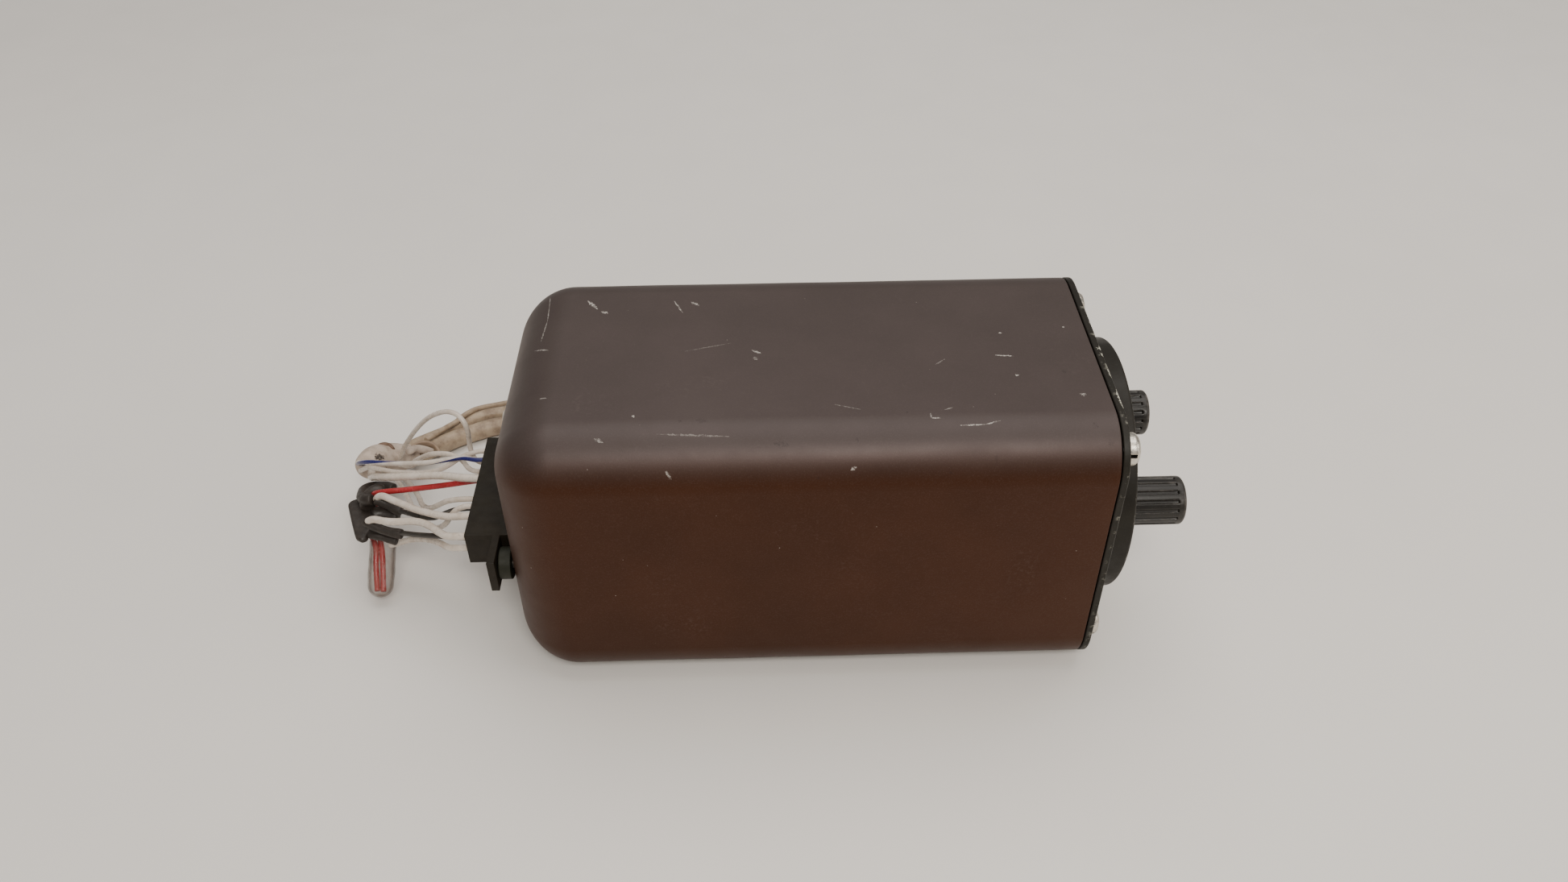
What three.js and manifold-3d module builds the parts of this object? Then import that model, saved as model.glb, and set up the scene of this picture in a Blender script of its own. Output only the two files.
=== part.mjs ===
// A panel-mounted climate controller: a deep-drawn square can behind a cast front bezel with two
// fluted control knobs, an edge connector on the rear, and a short pigtail of hook-up wires that
// folds back into three sheathed cables. Millimetres. While it is built, X runs along the
// instrument from the rear wall of the can (0) to the knobs, Y runs across it from one side of the
// can (0) to the other, and Z runs up from the surface that it lies on (0).
import * as THREE from "three";
import { mergeVertices } from "three/addons/utils/BufferGeometryUtils.js";
import Module from "manifold-3d";

const wasm = await Module();
wasm.setup();

// Driving dimensions
const side = 82.55; // the square can, across its flats
const middle = side / 2;
const canLength = 154;
const canWall = 1.2;
const edgeRadius = 13.5; // the can's four long edges
const rearRadius = 16; // the drawn edge round its rear wall
const gap = 0.3; // between pieces that touch
const flangeThickness = 1.8;
const flangeBack = canLength + gap;
const flangeFront = flangeBack + flangeThickness;
const bossRadius = 35.15;
const bossHeight = 7.2;
const bossFront = flangeFront + bossHeight;
const webThickness = 1.6;
const dialThickness = 0.8;
const dialRadius = 33.2;
const dialBack = bossFront - 0.2 - dialThickness;
const webFront = dialBack - gap;
const webBack = webFront - webThickness;

const knobRadius = 6.6;
const knobSpread = 19; // each knob's distance from the middle, across
const knobRise = 2; // the knobs' height above the middle
const knobBase = bossFront + 0.5;
const knobTip = bossFront + 17;
const fluteCount = 16;
const shaftRadius = 1.585;
const bushingRadius = 3.175;
const controlRadius = 6.35; // the body of the potentiometer and of the switch

const screwSpread = 31.43; // the corner screws' distance from the middle, both ways
const screwHeadRadius = 4.2;
const screwHeadHeight = 4;
const postRadius = 3.2;
const rearPlateFront = 12;
const rearPlateThickness = 1.6;

const boardMiddle = 32.75; // the main board's height
const boardThickness = 1.6;
const boardTop = boardMiddle + boardThickness / 2 + gap;
const tongueHalf = 17.5; // half the width of the board's contact tongue

const connector = {
  rear: -13.7,
  front: -0.6,
  near: 20.3,
  far: 61.6,
  halfHeight: 5.25,
  earRear: -6.1,
  earFront: -3.9,
  earNear: 9.5,
  earFar: 73.1,
};
const earHoles = [14.9, 67.7];
const contactPitch = 3.96;
const firstContact = 23.2;
const upperRow = boardMiddle + 2.25;
const lowerRow = boardMiddle - 2.25;

const xAxis = new THREE.Vector3(1, 0, 0);
const yAxis = new THREE.Vector3(0, 1, 0);
const zAxis = new THREE.Vector3(0, 0, 1);
const alongX = new THREE.Matrix4().makeBasis(yAxis, zAxis, xAxis);

function finish(color, roughness, metalness = 0, opacity = 1) {
  return new THREE.MeshStandardMaterial({ color, roughness, metalness, opacity, transparent: opacity < 1 });
}

const finishes = {
  can: finish(0x5b5255, 0.5, 0.3),
  bezel: finish(0x3d3c38, 0.6, 0.2),
  dial: finish(0x181818, 0.7),
  knob: finish(0x232323, 0.5),
  steel: finish(0xb5b3ad, 0.35, 0.9),
  brass: finish(0xb08d4a, 0.35, 0.9),
  aluminium: finish(0xa9abac, 0.45, 0.9),
  control: finish(0x2f4a3a, 0.6),
  board: finish(0x2d5a34, 0.6),
  core: finish(0x4a4742, 0.6, 0.5),
  relay: finish(0xd8d4c4, 0.5),
  capacitor: finish(0x2b3f6b, 0.45),
  black: finish(0x2b2926, 0.65),
  connector: finish(0x37342f, 0.7),
  white: finish(0xe3ddd3, 0.4),
  blue: finish(0xcfd0de, 0.4),
  red: finish(0xb83a3a, 0.4),
  sheath: finish(0xb4a791, 0.6),
  wrap: finish(0xc9bfb0, 0.8),
  clear: finish(0x9c8f80, 0.3, 0, 0.5),
};

// Solids: a closed geometry becomes a manifold-3d solid that faces out, and comes back as a geometry.

function solid(geometry) {
  const bare = geometry.clone();
  bare.deleteAttribute("normal");
  bare.deleteAttribute("uv");
  const merged = mergeVertices(bare, 1e-4);
  const index = merged.index.array;
  const triangles = [];
  for (let i = 0; i < index.length; i += 3) {
    const [a, b, c] = [index[i], index[i + 1], index[i + 2]];
    if (a !== b && b !== c && a !== c) triangles.push(a, b, c);
  }
  const vertProperties = merged.attributes.position.array;
  const made = (order) =>
    new wasm.Manifold(new wasm.Mesh({ numProp: 3, vertProperties, triVerts: new Uint32Array(order) }));
  const first = made(triangles);
  return first.volume() > 0 ? first : made(triangles.reverse());
}

function geometryOf(body) {
  const mesh = body.getMesh();
  const positions = new Float32Array(mesh.numVert * 3);
  for (let i = 0; i < mesh.numVert; i++) {
    positions.set(mesh.vertProperties.subarray(i * mesh.numProp, i * mesh.numProp + 3), i * 3);
  }
  const geometry = new THREE.BufferGeometry();
  geometry.setAttribute("position", new THREE.BufferAttribute(positions, 3));
  geometry.setIndex(new THREE.BufferAttribute(mesh.triVerts, 1));
  geometry.computeVertexNormals();
  return geometry;
}

function piece(name, body, material) {
  const mesh = new THREE.Mesh(geometryOf(body), material);
  mesh.name = name;
  return mesh;
}

function block(low, high) {
  const size = high.map((value, i) => value - low[i]);
  const geometry = new THREE.BoxGeometry(...size);
  geometry.translate(...low.map((value, i) => value + size[i] / 2));
  return solid(geometry);
}

// A body turned about an axis along X: its profile is a list of [x, radius] from one end to the other.
function turned(profile, sides, y = 0, z = 0) {
  const points = [[profile[0][0], 0], ...profile, [profile.at(-1)[0], 0]];
  const geometry = new THREE.LatheGeometry(
    points.map(([x, radius]) => new THREE.Vector2(radius, x)),
    sides,
  );
  geometry.rotateZ(-Math.PI / 2);
  geometry.translate(0, y, z);
  return solid(geometry);
}

function rod(from, to, radius, sides, y = 0, z = 0) {
  return turned([[from, radius], [to, radius]], sides, y, z);
}

// A flat outline in the Y-Z plane, extruded along X.
function extruded(shape, from, to) {
  const geometry = new THREE.ExtrudeGeometry(shape, {
    depth: to - from,
    bevelEnabled: false,
    curveSegments: 4,
  });
  geometry.applyMatrix4(alongX);
  geometry.translate(from, 0, 0);
  return solid(geometry);
}

function roundedSquare(half, radius) {
  const inner = half - radius;
  const shape = new THREE.Shape();
  shape.absarc(inner, -inner, radius, -Math.PI / 2, 0);
  shape.absarc(inner, inner, radius, 0, Math.PI / 2);
  shape.absarc(-inner, inner, radius, Math.PI / 2, Math.PI);
  shape.absarc(-inner, -inner, radius, Math.PI, Math.PI * 1.5);
  return shape;
}

function polygon(points) {
  return new THREE.Shape(points.map(([y, z]) => new THREE.Vector2(y, z)));
}

function union(bodies) {
  return bodies.reduce((whole, body) => whole.add(body));
}

function without(body, cuts) {
  return cuts.reduce((rest, cut) => rest.subtract(cut), body);
}

// A skin through rounded squares, one at each [x, half side, corner radius], closed at both ends.
function lofted(sections) {
  const rings = sections.map(([x, half, radius]) => {
    const shape = roundedSquare(half, radius);
    return shape.getPoints(4).slice(0, -1).map((p) => [x, p.x + middle, p.y + middle]);
  });
  const count = rings[0].length;
  const positions = rings.flat(2);
  const triangles = [];
  for (let ring = 0; ring + 1 < rings.length; ring++) {
    for (let i = 0; i < count; i++) {
      const a = ring * count + i;
      const b = ring * count + ((i + 1) % count);
      triangles.push(a, b, b + count, a, b + count, a + count);
    }
  }
  const last = (rings.length - 1) * count;
  for (let i = 1; i + 1 < count; i++) {
    triangles.push(0, i + 1, i, last, last + i, last + i + 1);
  }
  const geometry = new THREE.BufferGeometry();
  geometry.setAttribute("position", new THREE.Float32BufferAttribute(positions, 3));
  geometry.setIndex(triangles);
  return solid(geometry);
}

// The drawn can's outline, its rear edge rounded to the radius and its four long edges blended in.
function canSkin(inset, rear, front) {
  const radius = rearRadius - inset;
  const steps = 6;
  const sections = [];
  for (let i = 0; i <= steps; i++) {
    const angle = (i / steps) * (Math.PI / 2);
    const drawn = radius * (1 - Math.sin(angle));
    const corner = Math.max(edgeRadius - inset - drawn * 0.75, 1);
    sections.push([rear + radius * (1 - Math.cos(angle)), middle - inset - drawn, corner]);
  }
  sections.push([front, middle - inset, edgeRadius - inset]);
  return lofted(sections);
}

const fourCorners = [[-1, -1], [1, -1], [1, 1], [-1, 1]].map(([y, z]) => [
  middle + y * screwSpread,
  middle + z * screwSpread,
]);
const knobPlaces = [
  [middle - knobSpread, middle + knobRise],
  [middle + knobSpread, middle + knobRise],
];

// The can and its rear fastenings

const caseScrewHeights = [61, 15];
const connectorScrewRadius = 1.45;

function caseCan() {
  const shell = without(canSkin(0, 0, canLength), [canSkin(canWall, canWall, canLength + 1)]);
  const slot = block(
    [-1, middle - tongueHalf - 1.5, boardMiddle - 2.6],
    [canWall + 1, middle + tongueHalf + 1.5, boardMiddle + 2.6],
  );
  const screwHoles = caseScrewHeights.map((z) => rod(-1, 3, 2.1, 16, middle, z));
  const earScrewHoles = earHoles.map((y) => rod(-1, 4, connectorScrewRadius + gap, 12, y, boardMiddle));
  return piece("case_can", without(shell, [slot, ...screwHoles, ...earScrewHoles]), finishes.can);
}

function caseScrews() {
  const profile = [[-2.4, 1.2], [-2.4, 2.2], [-1.6, 3.1], [-gap, 3.4], [-gap, 1.7], [15, 1.7]];
  return caseScrewHeights.map((z, i) => {
    const slot = block([-3, middle - 4, z - 0.4], [-1.7, middle + 4, z + 0.4]);
    return piece(`case_screw_${i + 1}`, without(turned(profile, 16, middle, z), [slot]), finishes.steel);
  });
}

// The cast front: a square flange with a round boss, and the dial plate in the boss

function frontBezel() {
  const flangeShape = roundedSquare(middle, edgeRadius - 0.2);
  const flange = extruded(flangeShape, flangeBack, flangeFront).translate([0, middle, middle]);
  const boss = turned(
    [
      [flangeBack + 0.5, bossRadius],
      [bossFront - 0.7, bossRadius],
      [bossFront - 0.2, bossRadius - 0.2],
      [bossFront, bossRadius - 0.7],
    ],
    48,
    middle,
    middle,
  );
  const cuts = [
    rod(flangeBack - 1, webBack, 31.5, 36, middle, middle),
    rod(webFront, bossFront + 1, dialRadius + gap, 48, middle, middle),
    ...knobPlaces.map(([y, z]) => rod(webBack - 1, webFront + 1, bushingRadius + gap, 16, y, z)),
    ...fourCorners.map(([y, z]) => rod(flangeBack - 1, flangeFront + 1, 2.3, 16, y, z)),
  ];
  return piece("front_bezel", without(union([flange, boss]), cuts), finishes.bezel);
}

function dialPlate() {
  const disc = rod(dialBack, dialBack + dialThickness, dialRadius, 48, middle, middle);
  const holes = knobPlaces.map(([y, z]) => rod(dialBack - 1, bossFront + 1, bushingRadius + gap, 16, y, z));
  return piece("dial_plate", without(disc, holes), finishes.dial);
}

function cornerScrews() {
  const back = flangeFront + gap;
  const front = back + screwHeadHeight;
  const profile = [
    [back - 12, 1.9],
    [back, 1.9],
    [back, screwHeadRadius],
    [front - 1.4, screwHeadRadius],
    [front - 0.5, screwHeadRadius - 0.5],
    [front, screwHeadRadius - 1.9],
  ];
  return fourCorners.map(([y, z], i) => {
    const slot = block([front - 1.4, y - 6, z - 0.55], [front + 1, y + 6, z + 0.55]);
    return piece(`corner_screw_${i + 1}`, without(turned(profile, 14, y, z), [slot]), finishes.steel);
  });
}

// Inside: four posts and a rear plate carry two rails, which hold the main board

function chassisPosts() {
  return fourCorners.map(([y, z], i) => {
    const post = rod(rearPlateFront + gap, canLength, postRadius, 12, y, z);
    const tapped = rod(flangeBack - 13, canLength + 1, 2.2, 12, y, z);
    return piece(`chassis_post_${i + 1}`, without(post, [tapped]), finishes.aluminium);
  });
}

function rearPlate() {
  const back = rearPlateFront - rearPlateThickness;
  const plate = extruded(roundedSquare(36.5, 9), back, rearPlateFront).translate([0, middle, middle]);
  const slot = block(
    [back - 1, middle - tongueHalf - 1, boardMiddle - 2],
    [rearPlateFront + 1, middle + tongueHalf + 1, boardMiddle + 2],
  );
  const holes = caseScrewHeights.map((z) => rod(back - 1, rearPlateFront + 1, 2, 16, middle, z));
  return piece("rear_plate", without(plate, [slot, ...holes]), finishes.aluminium);
}

function boardRail(name, outside, inside) {
  const low = Math.min(outside, inside);
  const high = Math.max(outside, inside);
  const start = [rearPlateFront + gap, low, boardMiddle - 3.7];
  const bar = block(start, [canLength - 2, high, boardMiddle + 3.7]);
  const half = (outside + inside) / 2;
  const groove = block(
    [0, Math.min(half, inside) - (inside < half ? 1 : 0), boardMiddle - 1.1],
    [canLength + 1, Math.max(half, inside) + (inside > half ? 1 : 0), boardMiddle + 1.1],
  );
  return piece(name, without(bar, [groove]), finishes.aluminium);
}

function mainBoard() {
  const low = boardMiddle - boardThickness / 2;
  const high = boardMiddle + boardThickness / 2;
  const board = polygon([
    [-9.5, middle - tongueHalf],
    [rearPlateFront + 1.5, middle - tongueHalf],
    [rearPlateFront + 1.5, 4.8],
    [138, 4.8],
    [138, side - 4.8],
    [rearPlateFront + 1.5, side - 4.8],
    [rearPlateFront + 1.5, middle + tongueHalf],
    [-9.5, middle + tongueHalf],
  ]);
  const geometry = new THREE.ExtrudeGeometry(board, { depth: high - low, bevelEnabled: false });
  geometry.translate(0, 0, low);
  return piece("main_board", solid(geometry), finishes.board);
}

function transformer() {
  const core = block([30, 14, boardTop], [60, 40, boardTop + 25]);
  const windows = [
    block([35, 13, boardTop + 5], [42, 41, boardTop + 20]),
    block([48, 13, boardTop + 5], [55, 41, boardTop + 20]),
  ];
  const coil = block([36, 9, boardTop + 5.5], [54, 45, boardTop + 19.5]);
  return piece("transformer", union([without(core, windows), coil]), finishes.core);
}

function fanRelay() {
  const can = block([72, 12, boardTop], [92, 28, boardTop + 18]);
  const rim = block([71, 11, boardTop], [93, 29, boardTop + 2]);
  return piece("fan_relay", union([can, rim]), finishes.relay);
}

function filterCapacitor() {
  const profile = [
    [0, 6.2], [1.2, 6.5], [2.4, 5.9], [3.6, 6.5], [24, 6.5], [25, 5.8],
  ];
  const upright = turned(profile, 20).rotate([0, -90, 0]);
  return piece("filter_capacitor", upright.translate([84, 54, boardTop]), finishes.capacitor);
}

function heatSink() {
  const base = block([106, 40, boardTop], [134, 43, boardTop + 24]);
  const fins = [0, 1, 2, 3, 4].map((i) =>
    block([106 + i * 6.5, 42.5, boardTop], [108 + i * 6.5, 58, boardTop + 24]),
  );
  return piece("heat_sink", union([base, ...fins]), finishes.aluminium);
}

function powerTransistor() {
  const body = block([115, 35.2, boardTop + 6], [125, 39.7, boardTop + 15]);
  const tab = block([115, 38.4, boardTop + 14], [125, 39.7, boardTop + 21]);
  const legs = [116.7, 119.2, 121.7].map((x) =>
    block([x, 36.6, boardTop], [x + 0.9, 37.2, boardTop + 7]),
  );
  const hole = new THREE.CylinderGeometry(1.8, 1.8, 4, 12);
  hole.translate(120, 39, boardTop + 18);
  return piece("power_transistor", without(union([body, tab, ...legs]), [solid(hole)]), finishes.black);
}

// The two controls: each is a body behind the web, a bushing through it, a nut, a shaft and a knob

function controlBody(name, length, lugs, [y, z]) {
  const back = webBack - gap - length;
  const body = turned(
    [[back, controlRadius - 0.5], [back + 0.5, controlRadius], [webBack - gap, controlRadius]],
    20,
    y,
    z,
  );
  const bushing = rod(webBack - 1, dialBack + dialThickness + 2.6, bushingRadius, 16, y, z);
  const bore = rod(webBack - 3, bossFront + 5, shaftRadius + 0.25, 12, y, z);
  const pins = lugs.map(([across, up]) =>
    block([back - 5, y + across - 0.6, z + up - 0.3], [back + 1, y + across + 0.6, z + up + 0.3]),
  );
  return piece(name, without(union([body, bushing, ...pins]), [bore]), finishes.control);
}

function controlNut(name, [y, z]) {
  const hex = new THREE.Shape();
  const across = 3.97 / Math.cos(Math.PI / 6);
  for (let i = 0; i < 6; i++) {
    const angle = (i * Math.PI) / 3;
    hex[i ? "lineTo" : "moveTo"](across * Math.cos(angle), across * Math.sin(angle));
  }
  const back = dialBack + dialThickness + gap;
  const body = extruded(hex, back, back + 1.8).translate([0, y, z]);
  const bore = rod(back - 1, back + 3, bushingRadius + gap, 16, y, z);
  return piece(name, without(body, [bore]), finishes.steel);
}

const setScrewX = knobBase + 6.5;

function flutedOutline() {
  const outline = new THREE.Shape();
  const rib = knobRadius;
  const groove = knobRadius - 0.55;
  const pitch = (Math.PI * 2) / fluteCount;
  const corners = [[-0.34, rib], [0.12, rib], [0.22, groove], [0.56, groove]];
  for (let i = 0; i < fluteCount; i++) {
    corners.forEach(([share, radius], k) => {
      const angle = (i + share) * pitch;
      outline[i || k ? "lineTo" : "moveTo"](radius * Math.cos(angle), radius * Math.sin(angle));
    });
  }
  return outline;
}

function knob() {
  const fluted = extruded(flutedOutline(), knobBase, knobTip - 2.1);
  const cap = turned(
    [
      [knobTip - 2.6, knobRadius - 0.6],
      [knobTip - 2.3, knobRadius],
      [knobTip - 0.9, knobRadius],
      [knobTip - 0.3, knobRadius - 0.3],
      [knobTip, knobRadius - 1],
    ],
    24,
  );
  const nutRecess = rod(knobBase - 1, dialBack + dialThickness + 3.4, 5.1, 16);
  const bore = rod(knobBase - 1, knobTip - 3.5, shaftRadius + gap, 12);
  const screwHole = new THREE.CylinderGeometry(1.6, 1.6, knobRadius + 1, 12);
  screwHole.rotateX(Math.PI / 2);
  screwHole.translate(setScrewX, 0, -(knobRadius + 1) / 2);
  return without(union([fluted, cap]), [nutRecess, bore, solid(screwHole)]);
}

function setScrew() {
  const low = shaftRadius + gap;
  const high = knobRadius - 1.1;
  const screw = new THREE.CylinderGeometry(1.3, 1.3, high - low, 12);
  screw.rotateX(Math.PI / 2);
  screw.translate(setScrewX, 0, -(low + high) / 2);
  const socket = new THREE.BoxGeometry(0.5, 4, 0.8);
  socket.translate(setScrewX, 0, -high);
  return without(solid(screw), [solid(socket)]);
}

// The knob, its set screw and the shaft that it turns, at one of the two places on the dial.
function turningParts(name, [y, z]) {
  const group = new THREE.Group();
  group.position.set(0, y, z);
  const shaft = rod(webBack - 2.6, knobTip - 4, shaftRadius, 12);
  group.add(
    piece(`${name}_knob`, knob(), finishes.knob),
    piece(`${name}_set_screw`, setScrew(), finishes.steel),
    piece(`${name}_shaft`, shaft, finishes.steel),
  );
  return group;
}

// The edge connector on the rear

function connectorHousing() {
  const low = boardMiddle - connector.halfHeight;
  const high = boardMiddle + connector.halfHeight;
  const body = block([connector.rear, connector.near, low], [connector.front, connector.far, high]);
  const earCorner = [connector.earFront, connector.earFar, high];
  const ears = block([connector.earRear, connector.earNear, low], earCorner);
  const slot = block(
    [-11, middle - tongueHalf - 0.6, boardMiddle - 1.1],
    [connector.front + 1, middle + tongueHalf + 0.6, boardMiddle + 1.1],
  );
  const sink = [[connector.earRear - 1, 3.6], [connector.earFront + 1, connectorScrewRadius + 0.2]];
  const sinks = earHoles.map((y) => turned(sink, 16, y, boardMiddle));
  return piece("connector_housing", without(union([body, ears]), [slot, ...sinks]), finishes.connector);
}

function connectorSpacers() {
  return ["near", "far"].map((end, i) => {
    const y = earHoles[i];
    const spacer = rod(connector.earFront + gap, -gap, 4.4, 20, y, boardMiddle);
    const hole = rod(-5, 1, connectorScrewRadius + gap, 12, y, boardMiddle);
    return piece(`connector_spacer_${end}`, without(spacer, [hole]), finishes.black);
  });
}

function connectorScrews() {
  const profile = [
    [connector.earRear + 0.1, 1.6],
    [connector.earRear + 0.1, 2.6],
    [connector.earFront - 0.9, connectorScrewRadius],
    [7, connectorScrewRadius],
  ];
  return ["near", "far"].map((end, i) =>
    piece(`connector_screw_${end}`, turned(profile, 16, earHoles[i], boardMiddle), finishes.black),
  );
}

// The harness

// A wire leaves its contact straight back: its first two points.
function contact(number, height) {
  const y = firstContact + number * contactPitch;
  return [[connector.rear - gap, y, height], [connector.rear - gap - 2, y, height]];
}

// Each wire: its diameter, its finish and the points that it follows from its contact.
const wires = {
  wire_blue_stripe: [1.5, finishes.blue, [
    ...contact(8, upperRow), [-20.5, 56, 35], [-25, 56, 34.5], [-31, 56, 33.5], [-37.5, 57.5, 32],
    [-44.5, 59.5, 30.5], [-50.5, 62.5, 28.5], [-55, 66, 25.5], [-57.2, 70.2, 21.5],
  ]],
  wire_white_1: [1.5, finishes.white, [
    ...contact(9, upperRow), [-19.8, 58.2, 34.3], [-22.6, 57.9, 32.9], [-25.3, 57.1, 31.4],
    [-28.4, 56.7, 30], [-32.8, 56.8, 28.9], [-37.4, 57.8, 28.1], [-42.7, 59.3, 27.2], [-48.6, 62.6, 25.6],
    [-53.2, 66.3, 23.1], [-56.8, 69, 19.6],
  ]],
  wire_white_arch: [1.5, finishes.white, [
    ...contact(8, lowerRow), [-18.2, 55.4, 30.5], [-20, 57, 30.4], [-21.4, 59.2, 30.3], [-23.2, 61.2, 30.4],
    [-25.6, 62.4, 30.8], [-28.2, 62.9, 31], [-30.6, 63.4, 30.6], [-33, 64.3, 29.5], [-35.8, 65.8, 27.2],
    [-38.8, 68, 24], [-41.6, 70.8, 20],
  ]],
  wire_white_loop: [1.5, finishes.white, [
    ...contact(9, lowerRow), [-17.8, 59.4, 31.2], [-18.9, 60.4, 33.1], [-19.1, 60.9, 36], [-18.7, 60, 39.4],
    [-18.2, 58.8, 42.6], [-18.7, 59.1, 45.5], [-20.8, 60.9, 47.3], [-23.7, 62.7, 47.1], [-27.2, 64.9, 45],
    [-31.4, 68, 41], [-35.4, 71.2, 36], [-39.2, 74.1, 30.5], [-42.6, 76.9, 25], [-45.4, 79.4, 20],
  ]],
  wire_white_2: [2.3, finishes.white, [
    ...contact(6, upperRow), [-20, 47.8, 34.6], [-24, 49.9, 33.4], [-28.4, 51.9, 32], [-33.6, 53.5, 30.5],
    [-39.8, 55.2, 28.8], [-45.6, 58, 26.4], [-50.2, 61.8, 23.2], [-53.2, 67, 18.8],
  ]],
  wire_red: [1.7, finishes.red, [
    ...contact(7, lowerRow), [-20.1, 50.8, 30], [-24.5, 50.9, 29.2], [-29, 51.1, 28.4], [-34, 51.2, 27.7],
    [-38.8, 51.1, 27.2], [-43.2, 51.1, 26.8], [-46.6, 51.9, 25.6], [-48.7, 53.4, 23.3], [-49.5, 54.4, 20.6],
    [-49.3, 54, 18], [-48.8, 52, 15.9], [-48, 48.8, 14.5], [-47, 45.4, 13.3], [-46, 42, 11.9],
    [-45.4, 38, 9], [-45, 33.5, 5.6], [-44.8, 31.8, 4.5],
  ]],
  wire_red_tail: [1.7, finishes.red, [
    [-54.6, 58.5, 15.2], [-52.8, 52.5, 15.3], [-51.1, 48.5, 15.2], [-49, 45, 13.8], [-47.7, 42.2, 12.3],
    [-47.4, 38, 9], [-46.9, 34, 5.9], [-46.6, 32, 4.6],
  ]],
  wire_white_3: [2.1, finishes.white, [
    ...contact(2, upperRow), [-20.4, 31.7, 34.4], [-24.6, 34.2, 32.9], [-28.2, 36.6, 31.7],
    [-32, 39.1, 30.7], [-35.6, 41.7, 30], [-39.4, 44.3, 29.4], [-43, 46.9, 28.8],
  ]],
  wire_white_4: [2.1, finishes.white, [
    ...contact(0, upperRow), [-19.4, 24.2, 34.2], [-22.6, 27.3, 32.8], [-26, 31.3, 31.3], [-29.8, 34.4, 30],
    [-33.6, 35.7, 29.2], [-37.4, 36.1, 28.7], [-40.6, 36.7, 28.5], [-43.5, 37.6, 28.4],
  ]],
  wire_white_5: [1.6, finishes.white, [
    ...contact(5, lowerRow), [-20.6, 43.7, 29.8], [-24.3, 45.1, 27.9], [-27.3, 46.9, 25.1],
    [-30.3, 49.1, 21.9], [-33.3, 52.3, 18.8], [-36, 56.5, 16.2], [-38.1, 61.1, 14.1], [-40.2, 65.5, 12.8],
    [-42.3, 69, 12.2],
    [-44.4, 71.8, 12], [-46.4, 74, 12],
  ]],
  wire_white_6: [1.6, finishes.white, [
    ...contact(3, upperRow), [-18.7, 34.9, 34], [-20.8, 34.9, 31.7], [-22.6, 35.6, 28.6],
    [-24.9, 37.2, 25.4], [-27.9, 40.1, 22.2], [-31.4, 44.1, 19.5], [-34.8, 48.8, 17.4], [-37.8, 53.7, 15.7],
    [-40.4, 58.9, 14.3],
    [-43, 64.2, 13.2], [-45.6, 68.9, 12.4], [-47.8, 72.4, 12], [-49.7, 74.9, 12],
  ]],
  wire_white_7: [1.8, finishes.white, [
    ...contact(0, lowerRow), [-19.6, 24.4, 29.5], [-23.2, 28.2, 27.5], [-27.2, 32.7, 24.4],
    [-31.4, 36, 21.8], [-35, 38.2, 19.4], [-38.2, 39.5, 17.4], [-40.6, 40.1, 16], [-42.6, 40.6, 15],
  ]],
  wire_black_1: [1.5, finishes.black, [
    ...contact(4, lowerRow), [-19.5, 38.7, 30.6], [-21.6, 38.5, 30.2], [-23.9, 37.8, 29.6],
    [-26.3, 37.6, 28.6], [-29, 38.6, 27.6], [-32, 40.4, 26.8], [-34.8, 42.1, 26.1], [-36.9, 43.6, 25.4],
  ]],
  wire_black_2: [1.5, finishes.black, [
    ...contact(1, lowerRow), [-20.2, 28.1, 30.1], [-24.8, 29.7, 29], [-28.4, 31.1, 28], [-31.6, 32.7, 26.8],
    [-34.4, 34.4, 25.6],
  ]],
};

// Heat-shrink sleeves over the splices, in the same form.
const sleeves = {
  splice_sleeve_hook: [3.4, [
    [-45.2, 61.7, 18.3], [-48.8, 63, 18.1], [-51.8, 62.6, 18.5], [-53.1, 60, 20], [-52.6, 55.6, 22.2],
    [-50.8, 50.8, 24.3],
  ]],
  splice_sleeve_middle: [3.2, [
    [-46.4, 48.3, 26.2], [-44.3, 48, 25.6], [-41.9, 46.9, 24.9], [-39.9, 45.9, 24.4], [-38.3, 45.4, 24],
  ]],
  splice_sleeve_lower: [3, [
    [-47.3, 39.6, 25.8], [-45.3, 38.6, 25.4], [-42.4, 37.4, 24.7], [-39.4, 36.6, 24.1], [-36.1, 36, 23.8],
  ]],
};

const cableLine = 110.4; // how far behind the near side the thick cable runs
const turnRadius = 30;
const turnCentre = [92, cableLine + turnRadius]; // the fold of the cables behind the can

// The three sheathed cables run together along the surface, fold once behind the can and come back.
function cableRoute(start, inward, height) {
  const along = [-8, 12, 36, 64].map((x) => [x, cableLine + inward, height]);
  const bend = [0, 1, 2, 3, 4, 5, 6].map((i) => {
    const angle = -Math.PI / 2 + (i * Math.PI) / 6;
    const reach = turnRadius - inward;
    return [turnCentre[0] + reach * Math.cos(angle), turnCentre[1] + reach * Math.sin(angle), height];
  });
  const back = [76, 60].map((x) => [x, cableLine + 2 * turnRadius - inward, height]);
  return [...start, ...along, ...bend, ...back];
}

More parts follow.
